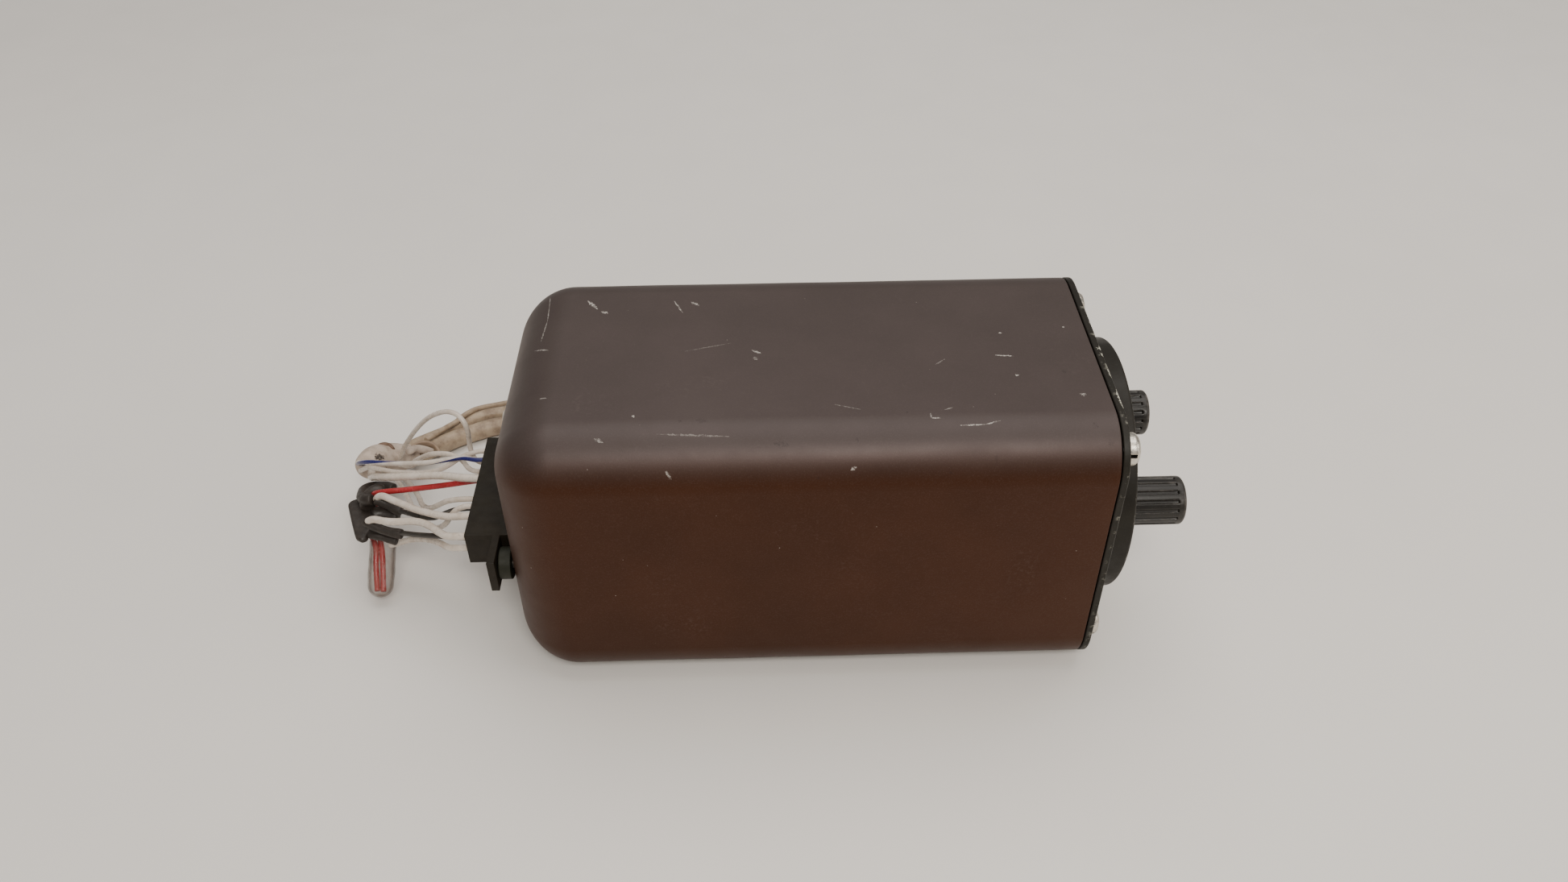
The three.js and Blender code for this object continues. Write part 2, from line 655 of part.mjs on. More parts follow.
const cables = {
  cable_thick: [6, cableRoute([
    [-45.7, 90.6, 6.9], [-42.6, 95.2, 5.5], [-39.2, 99.6, 4.3], [-35.2, 103.4, 3.5], [-30.2, 106.6, 3.1],
    [-24.6, 109, 3.1], [-18, 110.2, 3.1],
  ], 0, 3.1)],
  cable_medium: [3.8, cableRoute([
    [-48, 97.2, 6.4], [-45.2, 101, 5.2], [-42.7, 104.2, 4.2], [-40.4, 107.2, 3.3], [-38.2, 110, 2.6],
    [-35.5, 113, 2.1], [-32.6, 115.3, 2], [-29, 117.1, 2], [-24.8, 118.3, 2], [-18.5, 119, 2],
  ], 8.6, 2)],
  cable_thin: [1.8, cableRoute([
    [-43.7, 95, 9.8], [-42.2, 97.8, 9], [-40.7, 101.7, 7.8], [-38.9, 105.6, 6.6], [-37, 109.5, 5.4],
    [-35.2, 112.9, 5.2], [-32.7, 116.6, 4.6], [-29.8, 120.2, 3.1], [-26.4, 123.2, 1.6], [-22, 125.2, 1],
    [-16, 125.8, 1],
  ], 15.4, 1)],
};

function curveThrough(points) {
  const knots = points.map((p) => new THREE.Vector3(...p));
  return new THREE.CatmullRomCurve3(knots, false, "centripetal");
}

// A tube along hand-set points, closed at both ends.
function tube(points, diameter, sides, steps) {
  const curve = curveThrough(points);
  const section = new THREE.Shape();
  for (let i = 0; i < sides; i++) {
    const angle = (i / sides) * Math.PI * 2;
    section[i ? "lineTo" : "moveTo"]((diameter / 2) * Math.cos(angle), (diameter / 2) * Math.sin(angle));
  }
  return solid(new THREE.ExtrudeGeometry(section, { steps, extrudePath: curve, bevelEnabled: false }));
}

function stepsFor(points, diameter) {
  return Math.min(45, Math.round(curveThrough(points).getLength() / (1.9 * diameter)));
}

function harness() {
  const group = new THREE.Group();
  for (const [name, [diameter, material, points]] of Object.entries(wires)) {
    group.add(piece(name, tube(points, diameter, 8, stepsFor(points, diameter)), material));
  }
  for (const [name, [diameter, points]] of Object.entries(sleeves)) {
    group.add(piece(name, tube(points, diameter, 8, 7), finishes.black));
  }
  for (const [name, [diameter, points]] of Object.entries(cables)) {
    const sides = diameter < 4 ? 8 : 10;
    group.add(piece(name, tube(points, diameter, sides, stepsFor(points, diameter)), finishes.sheath));
  }
  return group;
}

// The wrap round the turned-back wires, where they go into the cables.
function harnessWrap() {
  const points = [[-55.8, 72, 18], [-55, 77.5, 16], [-53, 83, 12.5], [-49.8, 87, 9.4], [-46.4, 89.8, 7.2]];
  return piece("harness_wrap", tube(points, 8.8, 12, 8), finishes.wrap);
}

// The flattened black sleeve at the fold, which the red wires come out of.
function spliceTab() {
  const outline = polygon([
    [-55.9, 51.2], [-55.6, 52.2], [-52.7, 52.4], [-50, 51.6], [-47.8, 49.8], [-46.1, 45], [-46.3, 41.6],
    [-47, 39.3], [-47, 37], [-48.5, 36], [-50.4, 37.2], [-52.4, 41.8],
  ]);
  const geometry = new THREE.ExtrudeGeometry(outline, { depth: 1.9, bevelEnabled: false });
  geometry.translate(0, 0, 20);
  return piece("splice_tab", solid(geometry), finishes.black);
}

// The lay-flat clear sleeve over the ends of the red wires, round at its closed end.
function clearSleeve() {
  const half = 3.9;
  const length = 18;
  const slope = 36; // degrees up from the surface
  const outline = (inset, mouth) => {
    const shape = new THREE.Shape();
    shape.moveTo(half - inset, mouth);
    shape.absarc(0, half, half - inset, 0, -Math.PI, true);
    shape.lineTo(-half + inset, mouth);
    return shape;
  };
  const skin = new THREE.ExtrudeGeometry(outline(0, length), {
    depth: 4.4,
    bevelEnabled: false,
    curveSegments: 8,
  });
  const hollow = new THREE.ExtrudeGeometry(outline(0.5, length + 1), {
    depth: 3.4,
    bevelEnabled: false,
    curveSegments: 8,
  });
  hollow.translate(0, 0, 0.5);
  const body = without(solid(skin), [solid(hollow)]);
  const laid = body.translate([0, 0, -2.2]).rotate([slope, 0, 0]).translate([-45.7, 29.5, 2.9]);
  return piece("clear_sleeve", laid, finishes.clear);
}

const fromRear = -connector.rear;
const instrument = new THREE.Group();
instrument.position.set(fromRear - (knobTip + fromRear) / 2, -middle, 0);
instrument.add(
  caseCan(),
  ...caseScrews(),
  frontBezel(),
  dialPlate(),
  ...cornerScrews(),
  ...chassisPosts(),
  rearPlate(),
  boardRail("board_rail_near", canWall + 1, 6.8),
  boardRail("board_rail_far", side - canWall - 1, side - 6.8),
  mainBoard(),
  transformer(),
  fanRelay(),
  filterCapacitor(),
  heatSink(),
  powerTransistor(),
  controlBody("temperature_potentiometer", 11, [[-3, -5], [0, -5], [3, -5]], knobPlaces[0]),
  controlBody("fan_switch", 13, [[-4, 0], [-2.8, 2.8], [0, 4], [2.8, 2.8], [4, 0], [0, -4]], knobPlaces[1]),
  controlNut("temperature_nut", knobPlaces[0]),
  controlNut("fan_nut", knobPlaces[1]),
  turningParts("temperature", knobPlaces[0]),
  turningParts("fan", knobPlaces[1]),
  connectorHousing(),
  ...connectorSpacers(),
  ...connectorScrews(),
  harness(),
  harnessWrap(),
  spliceTab(),
  clearSleeve(),
);

const controller = new THREE.Group();
controller.add(instrument);

export default controller;
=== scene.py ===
"""The looks of a panel-mount climate controller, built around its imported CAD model, in metres.

Places are measured from the rear, near, bottom corner of the square can, as in part.mjs: x runs
from the can's rear wall to the knobs, y from its near side to its far side, and z up.
"""
import math

import bmesh
import bpy
from mathutils import Matrix, Vector, noise


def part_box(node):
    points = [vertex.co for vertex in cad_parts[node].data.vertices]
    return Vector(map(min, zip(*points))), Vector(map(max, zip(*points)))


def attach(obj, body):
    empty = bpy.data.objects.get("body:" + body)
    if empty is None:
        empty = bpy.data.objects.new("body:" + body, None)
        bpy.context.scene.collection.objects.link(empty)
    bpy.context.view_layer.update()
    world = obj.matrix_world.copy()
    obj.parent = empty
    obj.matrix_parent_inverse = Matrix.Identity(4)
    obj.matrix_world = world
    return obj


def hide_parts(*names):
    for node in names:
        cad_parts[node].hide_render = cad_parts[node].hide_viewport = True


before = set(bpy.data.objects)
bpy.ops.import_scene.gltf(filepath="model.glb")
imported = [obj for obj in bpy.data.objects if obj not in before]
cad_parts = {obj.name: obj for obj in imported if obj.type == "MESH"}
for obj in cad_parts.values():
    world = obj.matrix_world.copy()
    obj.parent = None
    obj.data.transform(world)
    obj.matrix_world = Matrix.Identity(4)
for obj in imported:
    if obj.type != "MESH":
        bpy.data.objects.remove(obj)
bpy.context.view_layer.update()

# Driving dimensions, from the CAD
case_low, case_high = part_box("case_can")
side = case_high.y - case_low.y
middle = side / 2
can_length = case_high.x - case_low.x
can_wall = 0.0012
edge_radius = 0.0135
rear_radius = 0.016
flange_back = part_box("front_bezel")[0].x - case_low.x
boss_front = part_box("front_bezel")[1].x - case_low.x
flange_front = flange_back + 0.0018
boss_radius = 0.03515
dial_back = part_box("dial_plate")[0].x - case_low.x
dial_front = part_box("dial_plate")[1].x - case_low.x
dial_radius = 0.0332
web_front = dial_back - 0.0003
web_back = web_front - 0.0016
bushing_radius = 0.003175
clearance = 0.0003
knob_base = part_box("temperature_knob")[0].x - case_low.x
knob_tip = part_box("temperature_knob")[1].x - case_low.x
knob_radius = 0.0066
knob_height = middle + 0.002
knob_spread = 0.019
knob_places = {"temperature": (middle - knob_spread, knob_height), "fan": (middle + knob_spread, knob_height)}
screw_spread = 0.03143
corners = [(middle + y * screw_spread, middle + z * screw_spread)
           for y, z in ((-1, -1), (1, -1), (1, 1), (-1, 1))]
case_screw_heights = (0.061, 0.015)
board_height = 0.03275
connector_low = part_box("connector_housing")[0] - case_low
connector_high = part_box("connector_housing")[1] - case_low
connector_body = (0.0203, 0.0616)
ear_plate = (-0.0061, -0.0039)
ear_holes = (0.0149, 0.0677)
ear_bore_radius = 0.00175
contact_pitch = 0.00396
first_contact = 0.0232
upper_row = 0.035
lower_row = 0.0305
contact_places = [first_contact + i * contact_pitch for i in range(10)]
quarter_turn = [i * math.pi / 12 for i in range(7)]
beyond = 0.001  # how far a cutting shape reaches past the surface that it cuts


# ---- Camera and light. The camera was solved from the can's edges in the photograph.

camera_place = Vector((0.066294, -0.215835, 0.268414))
camera_angles = (49.822, 0.174, -1.749)
camera_lens = 27.857
lit_place = Vector((0, 0, 0.04))


def linked(name, data):
    obj = bpy.data.objects.new(name, data)
    bpy.context.scene.collection.objects.link(obj)
    return obj


def make_camera():
    data = bpy.data.cameras.new("camera")
    data.sensor_width = 36
    data.lens = camera_lens
    camera = linked("camera", data)
    camera.location = case_low + camera_place
    camera.rotation_euler = [math.radians(angle) for angle in camera_angles]
    bpy.context.scene.camera = camera


def softbox(name, place, size, power, colour):
    data = bpy.data.lights.new(name, "AREA")
    data.shape = "RECTANGLE"
    data.size, data.size_y = size
    data.energy = power
    data.color = colour
    light = linked(name, data)
    light.location = place
    light.rotation_euler = (lit_place - light.location).to_track_quat("-Z", "Y").to_euler()


def make_lights():
    softbox("key", Vector((0.1, -0.75, 0.95)), (0.5, 0.35), 10, (1, 0.95, 0.88))
    softbox("overhead", Vector((0.1, 0.35, 1.3)), (1.4, 1.1), 13, (1, 0.96, 0.92))
    softbox("side_fill", Vector((1.1, -0.3, 0.6)), (0.7, 0.7), 4, (1, 0.93, 0.86))
    world = bpy.data.worlds.new("studio")
    bpy.context.scene.world = world
    world.use_nodes = True
    background = world.node_tree.nodes["Background"]
    background.inputs["Color"].default_value = (0.92, 0.9, 0.87, 1)
    background.inputs["Strength"].default_value = 0.35


# ---- Materials

shortest_run = 0.0008  # a mark shorter than this is a spot


class Finish:
    """A material whose nodes are added one call at a time. Each call returns the new node's output."""

    def __init__(self, name, **sockets):
        self.material = bpy.data.materials.new(name)
        self.material.use_nodes = True
        self.tree = self.material.node_tree
        self.shader = self.tree.nodes["Principled BSDF"]
        self.place = self.add("TexCoord", output="Object")
        for socket, value in sockets.items():
            self.set(socket.replace("_", " "), value)

    def join(self, value, socket):
        if isinstance(value, bpy.types.NodeSocket):
            self.tree.links.new(value, socket)
        else:
            socket.default_value = value

    def add(self, kind, inputs=None, output=0, **settings):
        node = self.tree.nodes.new("ShaderNode" + kind)
        for key, value in settings.items():
            setattr(node, key, value)
        for key, value in (inputs or {}).items():
            self.join(value, node.inputs[key])
        return node.outputs[output]

    def set(self, socket, value):
        self.join(value, self.shader.inputs[socket])

    def math(self, operation, a, b=0.0):
        return self.add("Math", {0: a, 1: b}, operation=operation)

    def vector(self, operation, a, b, output=0):
        return self.add("VectorMath", {0: a, 1: b}, output, operation=operation)

    def stretched(self, stretch):
        return self.vector("MULTIPLY", self.place, stretch)

    def noise(self, scale, detail=4, roughness=0.55, stretch=None, distortion=0.0):
        where = self.stretched(stretch) if stretch else self.place
        inputs = {"Vector": where, "Scale": scale, "Detail": detail, "Roughness": roughness,
                  "Distortion": distortion}
        return self.add("TexNoise", inputs)

    def cells(self, scale, output="Distance", **settings):
        return self.add("TexVoronoi", {"Vector": self.place, "Scale": scale}, output, **settings)

    def spots(self, scale, rim, core, channel, strength):
        """A round spot in a few of the cells, the ones with a strong enough share of a random colour."""
        spot = self.step(self.cells(scale), rim, core)
        rare = self.step(self.add("SeparateColor", {0: self.cells(scale, "Color")}, channel), 0.86, 0.90)
        return self.math("MULTIPLY", self.math("MULTIPLY", spot, rare), strength)

    def step(self, value, low, high, to_low=0.0, to_high=1.0):
        inputs = {"Value": value, "From Min": low, "From Max": high, "To Min": to_low, "To Max": to_high}
        return self.add("MapRange", inputs, interpolation_type="SMOOTHSTEP")

    def mix(self, factor, a, b):
        pair = [value if isinstance(value, bpy.types.NodeSocket) else (*value, 1) for value in (a, b)]
        return self.add("Mix", {0: factor, 6: pair[0], 7: pair[1]}, 2, data_type="RGBA")

    def attribute(self, name, output="Fac"):
        return self.add("Attribute", None, output, attribute_name=name)

    def patches(self, scale, detail, roughness, *limits):
        return self.step(self.noise(scale, detail, roughness), *limits)

    def roughness(self, scale, low, high, detail=4):
        self.set("Roughness", self.step(self.noise(scale, detail), 0.3, 0.75, low, high))

    def round_tube(self):
        """The angle round a tube's route and the length along it, kept by tube() at each vertex."""
        kept = self.add("SeparateXYZ", {0: self.attribute("tube", "Vector")}, "X").node.outputs
        return self.math("ARCTAN2", kept["Y"], kept["X"]), kept["Z"]

    def bump(self, height, distance, strength=1.0):
        inputs = {"Height": height, "Distance": distance, "Strength": strength}
        normal = self.shader.inputs["Normal"]
        if normal.links:
            inputs["Normal"] = normal.links[0].from_socket
        self.set("Normal", self.add("Bump", inputs))

    def mark(self, start, end, width, strength):
        """How much of a scratch or chip is here: it runs from start to end, places in the case frame."""
        flatten = (1, 1, 0.2)  # height counts for less, so a mark reaches the skin under it
        a = Vector(flatten) * (case_low + Vector(start))
        b = Vector(flatten) * (case_low + Vector(end))
        offset = self.vector("SUBTRACT", self.stretched(flatten), a)
        along = b - a
        reach = self.math("MULTIPLY", self.ragged, width / 2)
        if along.length > shortest_run:
            share = self.vector("DOT_PRODUCT", offset, along / along.length_squared, "Value")
            share = self.add("Clamp", {"Value": share})
            run = self.add("VectorMath", {0: along, "Scale": share}, operation="SCALE")
            offset = self.vector("SUBTRACT", offset, run)
            reach = self.math("MULTIPLY", reach, self.step(self.math("PINGPONG", share, 0.5), 0, 0.3, 0.3))
        distance = self.add("VectorMath", {0: offset}, "Value", operation="LENGTH")
        inside = self.step(self.math("SUBTRACT", distance, reach), width * 0.12, -width * 0.12)
        return self.math("MULTIPLY", inside, self.math("MULTIPLY", self.broken, strength))

    def all_marks(self, marks, faintest=0.15):
        """Where any of the marks is, ragged at its edges and broken up down to the faintest share."""
        self.ragged = self.step(self.noise(2300, 3, 0.7), 0.3, 0.7, 0.2, 1.8)
        self.broken = self.step(self.noise(1500, 4, 0.7), 0.40, 0.54, faintest, 1.0)
        found = None
        for mark in marks:
            one = self.mark(*mark)
            found = one if found is None else self.math("MAXIMUM", found, one)
        return found


# Wear on the can: each mark's start, end, width and strength.
pale_marks = [
    ((0.0093, 0.0700, 0.0811), (0.0097, 0.0649, 0.0811), 0.00025, 0.5),
    ((0.0097, 0.0649, 0.0811), (0.0100, 0.0580, 0.0814), 0.00025, 0.55),
    ((0.0100, 0.0580, 0.0814), (0.0093, 0.0491, 0.0811), 0.0003, 0.5),
    ((0.0080, 0.0458, 0.0804), (0.0119, 0.0437, 0.0820), 0.0004, 0.6),
    ((0.0121, 0.0231, 0.0821), (0.0140, 0.0228, 0.0824), 0.0004, 0.45),
    ((0.0204, 0.0657, side), (0.0233, 0.0617, side), 0.0008, 0.75),
    ((0.0245, 0.0604, side), (0.0262, 0.0596, side), 0.0008, 0.85),
    ((0.0441, 0.0649, side), (0.0466, 0.0592, side), 0.0004, 0.6),
    ((0.0488, 0.0642, side), (0.0508, 0.0626, side), 0.0007, 0.7),
    ((0.0478, 0.0413, side), (0.0598, 0.0445, side), 0.00022, 0.25),
    ((0.0652, 0.0412, side), (0.0676, 0.0396, side), 0.0007, 0.65),
    ((0.0660, 0.0375, side), (0.0664, 0.0374, side), 0.0010, 0.3),
    ((0.1281, 0.0368, side), (0.1329, 0.0362, side), 0.0004, 0.95),
    ((0.1311, 0.0466, side), (0.1314, 0.0467, side), 0.0006, 0.8),
    ((0.1322, 0.0280, side), (0.1325, 0.0276, side), 0.0007, 0.7),
    ((0.1473, 0.0196, side), (0.1475, 0.0194, side), 0.0010, 0.6),
    ((0.1484, 0.0488, side), (0.1489, 0.0488, side), 0.0005, 0.7),
    ((0.1153, 0.0094, 0.0819), (0.1213, 0.0095, 0.0819), 0.0003, 0.75),
    ((0.1213, 0.0095, 0.0819), (0.1252, 0.0105, 0.0822), 0.0003, 0.7),
    ((0.1085, 0.0136, side), (0.1085, 0.0118, 0.0824), 0.0003, 0.45),
    ((0.1085, 0.0118, 0.0824), (0.1108, 0.0117, 0.0824), 0.0003, 0.65),
    ((0.1121, 0.0147, side), (0.1142, 0.0155, side), 0.0003, 0.35),
    ((0.1122, 0.0333, side), (0.1149, 0.0355, side), 0.0003, 0.4),
    ((0.0852, 0.0178, side), (0.0915, 0.0156, side), 0.00025, 0.3),
    ((0.0420, 0.0088, 0.0817), (0.0594, 0.0078, 0.0813), 0.0004, 0.25),
    ((0.0271, 0.0080, 0.0814), (0.0291, 0.0071, 0.0809), 0.0006, 0.4),
    ((0.0440, 0.0018, 0.0757), (0.0453, 0.0010, 0.0741), 0.0005, 0.5),
    ((0.0884, 0.0015, 0.0752), (0.0897, 0.0018, 0.0758), 0.0004, 0.55),
    ((0.0361, 0.0148, side), (0.0362, 0.0148, side), 0.0007, 0.9),
]
dark_marks = [
    ((0.0702, 0.0060, 0.0802), (0.0736, 0.0056, 0.0800), 0.0011, 0.6),
    ((0.1444, 0.0291, side), (0.1447, 0.0291, side), 0.0010, 0.5),
    ((0.1480, 0.0087, 0.0817), (0.1484, 0.0087, 0.0817), 0.0011, 0.7),
    ((0.1513, 0.0046, 0.0792), (0.1515, 0.0046, 0.0792), 0.0010, 0.7),
    ((0.0901, 0.0064, 0.0805), (0.0903, 0.0064, 0.0805), 0.0007, 0.6),
    ((0.0471, 0.0128, side), (0.0480, 0.0124, side), 0.0008, 0.45),
    ((0.0515, 0.0128, side), (0.0540, 0.0122, side), 0.0016, 0.35),
    ((0.1231, 0.0028, 0.0772), (0.1240, 0.0026, 0.0770), 0.0011, 0.4),
]


def can_paint():
    """Black dye on drawn aluminium, faded to brown, with dust on top. The top's lighter grey is also painted
    light from above, and the sides' brown with its orange specular tint is also a painted reflection of a
    warm floor.
    """
    f = Finish("can_paint")
    up = f.add("SeparateXYZ", {0: f.add("NewGeometry", None, "Normal")}, "Z")
    cloud = f.noise(22, 5, 0.6)
    # Up-facing skin is dusty and also painted lighter, as if lit from above; the sides get a faded brown that
    # also holds a painted warm reflection.
    top_dust_and_painted_light = f.step(up, 0.15, 0.9)
    faded_and_reflected_brown = f.mix(f.step(cloud, 0.3, 0.75), (0.0185, 0.0062, 0.0022), (0.0275, 0.0095, 0.0036))
    dusty_and_lit_grey = f.mix(f.step(cloud, 0.35, 0.7), (0.038, 0.0270, 0.0236), (0.046, 0.0336, 0.0298))
    colour = f.mix(top_dust_and_painted_light, faded_and_reflected_brown, dusty_and_lit_grey)
    grain = f.noise(2600, 3, 0.7)
    colour = f.mix(f.step(grain, 0.45, 0.8, 0.0, 0.12), colour, (0.12, 0.10, 0.09))
    rubs = f.math("MULTIPLY", f.patches(35, 4, 0.6, 0.56, 0.7), f.patches(900, 3, 0.6, 0.5, 0.7))
    colour = f.mix(f.math("MULTIPLY", rubs, 0.07), colour, (0.20, 0.17, 0.15))
    colour = f.mix(f.spots(330, 0.060, 0.025, "Red", 0.55), colour, (0.42, 0.38, 0.34))
    dark = f.math("MAXIMUM", f.spots(150, 0.075, 0.03, "Green", 0.5), f.all_marks(dark_marks))
    colour = f.mix(dark, colour, (0.014, 0.009, 0.008))
    pale = f.all_marks(pale_marks)
    colour = f.mix(pale, colour, (0.50, 0.47, 0.43))
    f.set("Base Color", colour)
    f.set("Roughness", f.patches(60, 6, 0.65, 0.25, 0.8, 0.43, 0.52))
    # Orange specular tint on the sides: a painted reflection of a warm floor.
    f.set("Specular Tint", f.mix(top_dust_and_painted_light, (1.0, 0.45, 0.29), (1.0, 0.88, 0.88)))
    f.set("Specular IOR Level", 0.40)
    f.bump(grain, 0.00003, 0.5)
    f.bump(f.noise(300, 3, 0.6), 0.00005, 0.35)
    f.bump(f.math("SUBTRACT", 1.0, pale), 0.00008, 0.6)
    return f.material


def bezel_paint():
    """Dark semi-matte paint over a casting, chipped to pale metal along the flange's front edge."""
    f = Finish("bezel_paint")
    cloud = f.noise(90, 5, 0.6)
    colour = f.mix(f.step(cloud, 0.3, 0.75), (0.0085, 0.0068, 0.0042), (0.014, 0.0116, 0.0076))
    grain = f.noise(1800, 4, 0.7)
    colour = f.mix(f.step(grain, 0.5, 0.8, 0, 0.2), colour, (0.05, 0.046, 0.037))
    rim = side - 0.0001
    x = flange_front - 0.0001
    chips = [
        ((x, 0.0505, rim), (x, 0.0500, rim), 0.0007, 0.7),
        ((x, 0.0455, rim), (x, 0.0440, rim), 0.0006, 0.6),
        ((x, 0.0395, rim), (x, 0.0382, rim), 0.0013, 1.0),
        ((x, 0.0365, rim), (x, 0.0355, rim), 0.0012, 0.8),
        ((x, 0.0310, rim), (x, 0.0262, rim), 0.0006, 0.85),
        ((x + 0.0003, 0.0292, rim - 0.0009), (x + 0.0003, 0.0265, rim - 0.0009), 0.0005, 0.6),
        ((x, 0.0215, rim), (x, 0.0140, rim), 0.0007, 0.95),
    ]
    worn = f.all_marks(chips)
    random_wear = f.math("MULTIPLY", f.attribute("edge"), f.patches(420, 4, 0.7, 0.56, 0.66))
    worn = f.math("MAXIMUM", worn, f.math("MULTIPLY", random_wear, 0.28))
    colour = f.mix(worn, colour, (0.52, 0.50, 0.42))
    f.set("Base Color", colour)
    f.roughness(160, 0.42, 0.6, 5)
    f.set("Specular IOR Level", 0.24)
    f.bump(grain, 0.00004, 0.6)
    f.bump(f.math("SUBTRACT", 1.0, worn), 0.00008, 0.7)
    return f.material


def moulded(name, dark, light, roughness=(0.4, 0.6), grain_scale=2200, worn=(0.3, 0.29, 0.27),
            depth=0.00003, dust=0.25, shine=0.5):
    """A moulded or painted surface: fine grain, uneven colour, and a paler colour where the edge attribute
    says: wear, and on the knobs also a painted glint.
    """
    f = Finish(name)
    colour = f.mix(f.patches(140, 5, 0.6, 0.3, 0.75), dark, light)
    grain = f.noise(grain_scale, 3, 0.7)
    # Paler where the edge attribute says: wear, and on the knobs a painted glint.
    rubbed_and_glinting = f.math("MULTIPLY", f.attribute("edge"), f.patches(520, 4, 0.7, 0.42, 0.66, 0.15, 1.0))
    colour = f.mix(f.math("MULTIPLY", rubbed_and_glinting, 0.7), colour, worn)
    specks = f.patches(3000, 2, 0.5, 0.66, 0.74, 0, dust)
    f.set("Base Color", f.mix(specks, colour, (0.3, 0.28, 0.26)))
    f.roughness(260, *roughness, 5)
    f.set("Specular IOR Level", shine)
    f.bump(grain, depth, 0.5)
    return f.material


def metal(name, colour, tarnish, roughness=(0.2, 0.5), brushed=(1, 1, 1), spots=0.6):
    """Plated or plain metal with tarnish, dark specks and fine drawn lines."""
    f = Finish(name, Metallic=1.0)
    patches = f.patches(420, 5, 0.65, 0.42, 0.68)
    mixed = f.mix(f.math("MULTIPLY", patches, 0.55), colour, tarnish)
    specks = f.patches(1500, 3, 0.6, 0.62, 0.70)
    mixed = f.mix(f.math("MULTIPLY", specks, spots), mixed, (0.05, 0.045, 0.04))
    lines = f.noise(2400, 3, 0.6, stretch=brushed)
    f.set("Base Color", mixed)
    f.set("Roughness", f.step(f.math("ADD", lines, f.math("MULTIPLY", patches, 0.3)), 0.3, 0.9, *roughness))
    f.bump(lines, 0.00002, 0.5)
    return f.material


def insulation(name, clean, soiled, roughness=(0.2, 0.36), stripe=None, dirt=0.5):
    """Wire insulation: soiled along its length, faintly ribbed, with a spiral stripe if it has one."""
    f = Finish(name)
    patches = f.patches(240, 5, 0.65, 0.36, 0.72)
    colour = f.mix(f.math("MULTIPLY", patches, dirt), clean, soiled)
    grime = f.patches(1100, 3, 0.6, 0.62, 0.72, 0, 0.35)
    colour = f.mix(grime, colour, tuple(0.45 * part for part in soiled))
    if stripe:
        angle, length = f.round_tube()
        turned = f.math("ADD", angle, f.math("MULTIPLY", length, stripe["twist"]))
        across = f.math("COSINE", f.math("ADD", turned, stripe["phase"]))
        painted = f.step(across, stripe["edge"], stripe["edge"] + 0.1)
        colour = f.mix(painted, colour, stripe["colour"])
    f.set("Base Color", colour)
    f.roughness(500, *roughness)
    f.set("Subsurface Weight", 0.08)
    f.set("Subsurface Radius", (0.0006, 0.0005, 0.0004))
    f.bump(f.noise(1600, 3, 0.6), 0.00004, 0.5)
    return f.material


def shrunk_sleeve():
    """Black heat-shrink: soft, wrinkled and dusty."""
    f = Finish("shrunk_sleeve")
    dusty = f.patches(420, 5, 0.65, 0.42, 0.75, 0, 0.35)
    colour = f.mix(dusty, (0.017, 0.0115, 0.008), (0.062, 0.044, 0.032))
    wrinkle = f.noise(520, 4, 0.6, distortion=0.6)
    f.set("Base Color", colour)
    f.roughness(700, 0.45, 0.7)
    f.bump(wrinkle, 0.00025, 0.5)
    f.bump(f.noise(3200, 3), 0.00003, 0.5)
    return f.material


def wrap_tape():
    """Pale lacing tape: overlapping turns, a weave across them and painted shade in the creases where one
    turn laps over the next.
    """
    f = Finish("wrap_tape")
    angle, length = f.round_tube()
    weave = f.math("SINE", f.math("MULTIPLY", length, 9000))
    weft = f.math("SINE", f.math("MULTIPLY", angle, 90))
    cloth = f.math("MULTIPLY", weave, weft)
    patches = f.patches(260, 5, 0.65, 0.35, 0.7)
    colour = f.mix(patches, (0.50, 0.41, 0.34), (0.34, 0.265, 0.21))
    # Darker along each turn's lapped edge: painted shade in the crease under the lip.
    fold = f.step(f.attribute("fold"), 0.1, 1.0)
    colour = f.mix(fold, colour, (0.07, 0.045, 0.03))
    # Three near-black patches where the tape gapes open: painted shade in the gaps.
    slots = [
        ((-0.0530, 0.0732, 0.0200), (-0.0512, 0.0756, 0.0204), 0.0019, 1.0),
        ((-0.0494, 0.0762, 0.0200), (-0.0476, 0.0752, 0.0190), 0.0018, 1.0),
        ((-0.0500, 0.0724, 0.0205), (-0.0470, 0.0722, 0.0190), 0.0012, 0.8),
    ]
    colour = f.mix(f.all_marks(slots, 0.85), colour, (0.03, 0.02, 0.015))
    f.set("Base Color", colour)
    f.roughness(600, 0.6, 0.85)
    f.bump(cloth, 0.00003, 0.5)
    f.bump(f.noise(700, 4, 0.6), 0.00015, 0.5)
    return f.material


def clear_plastic():
    """Old clear sleeve: thin and cloudy, with painted shade where its skin turns over at the rim: darker and
    more opaque there.
    """
    f = Finish("clear_plastic", IOR=1.48)
    cloudy = f.patches(300, 5, 0.65, 0.3, 0.7)
    # Painted shade at the folded rim and the closed end: darker colour and more alpha.
    rim = f.step(f.attribute("edge"), 0.1, 0.9)
    colour = f.mix(cloudy, (0.26, 0.20, 0.16), (0.40, 0.33, 0.27))
    f.set("Base Color", f.mix(rim, colour, (0.12, 0.08, 0.06)))
    f.set("Alpha", f.math("ADD", f.step(cloudy, 0, 1, 0.05, 0.13), f.math("MULTIPLY", rim, 0.40)))
    f.roughness(500, 0.14, 0.3)
    f.bump(f.noise(420, 4, 0.6), 0.0002, 0.5)
    return f.material


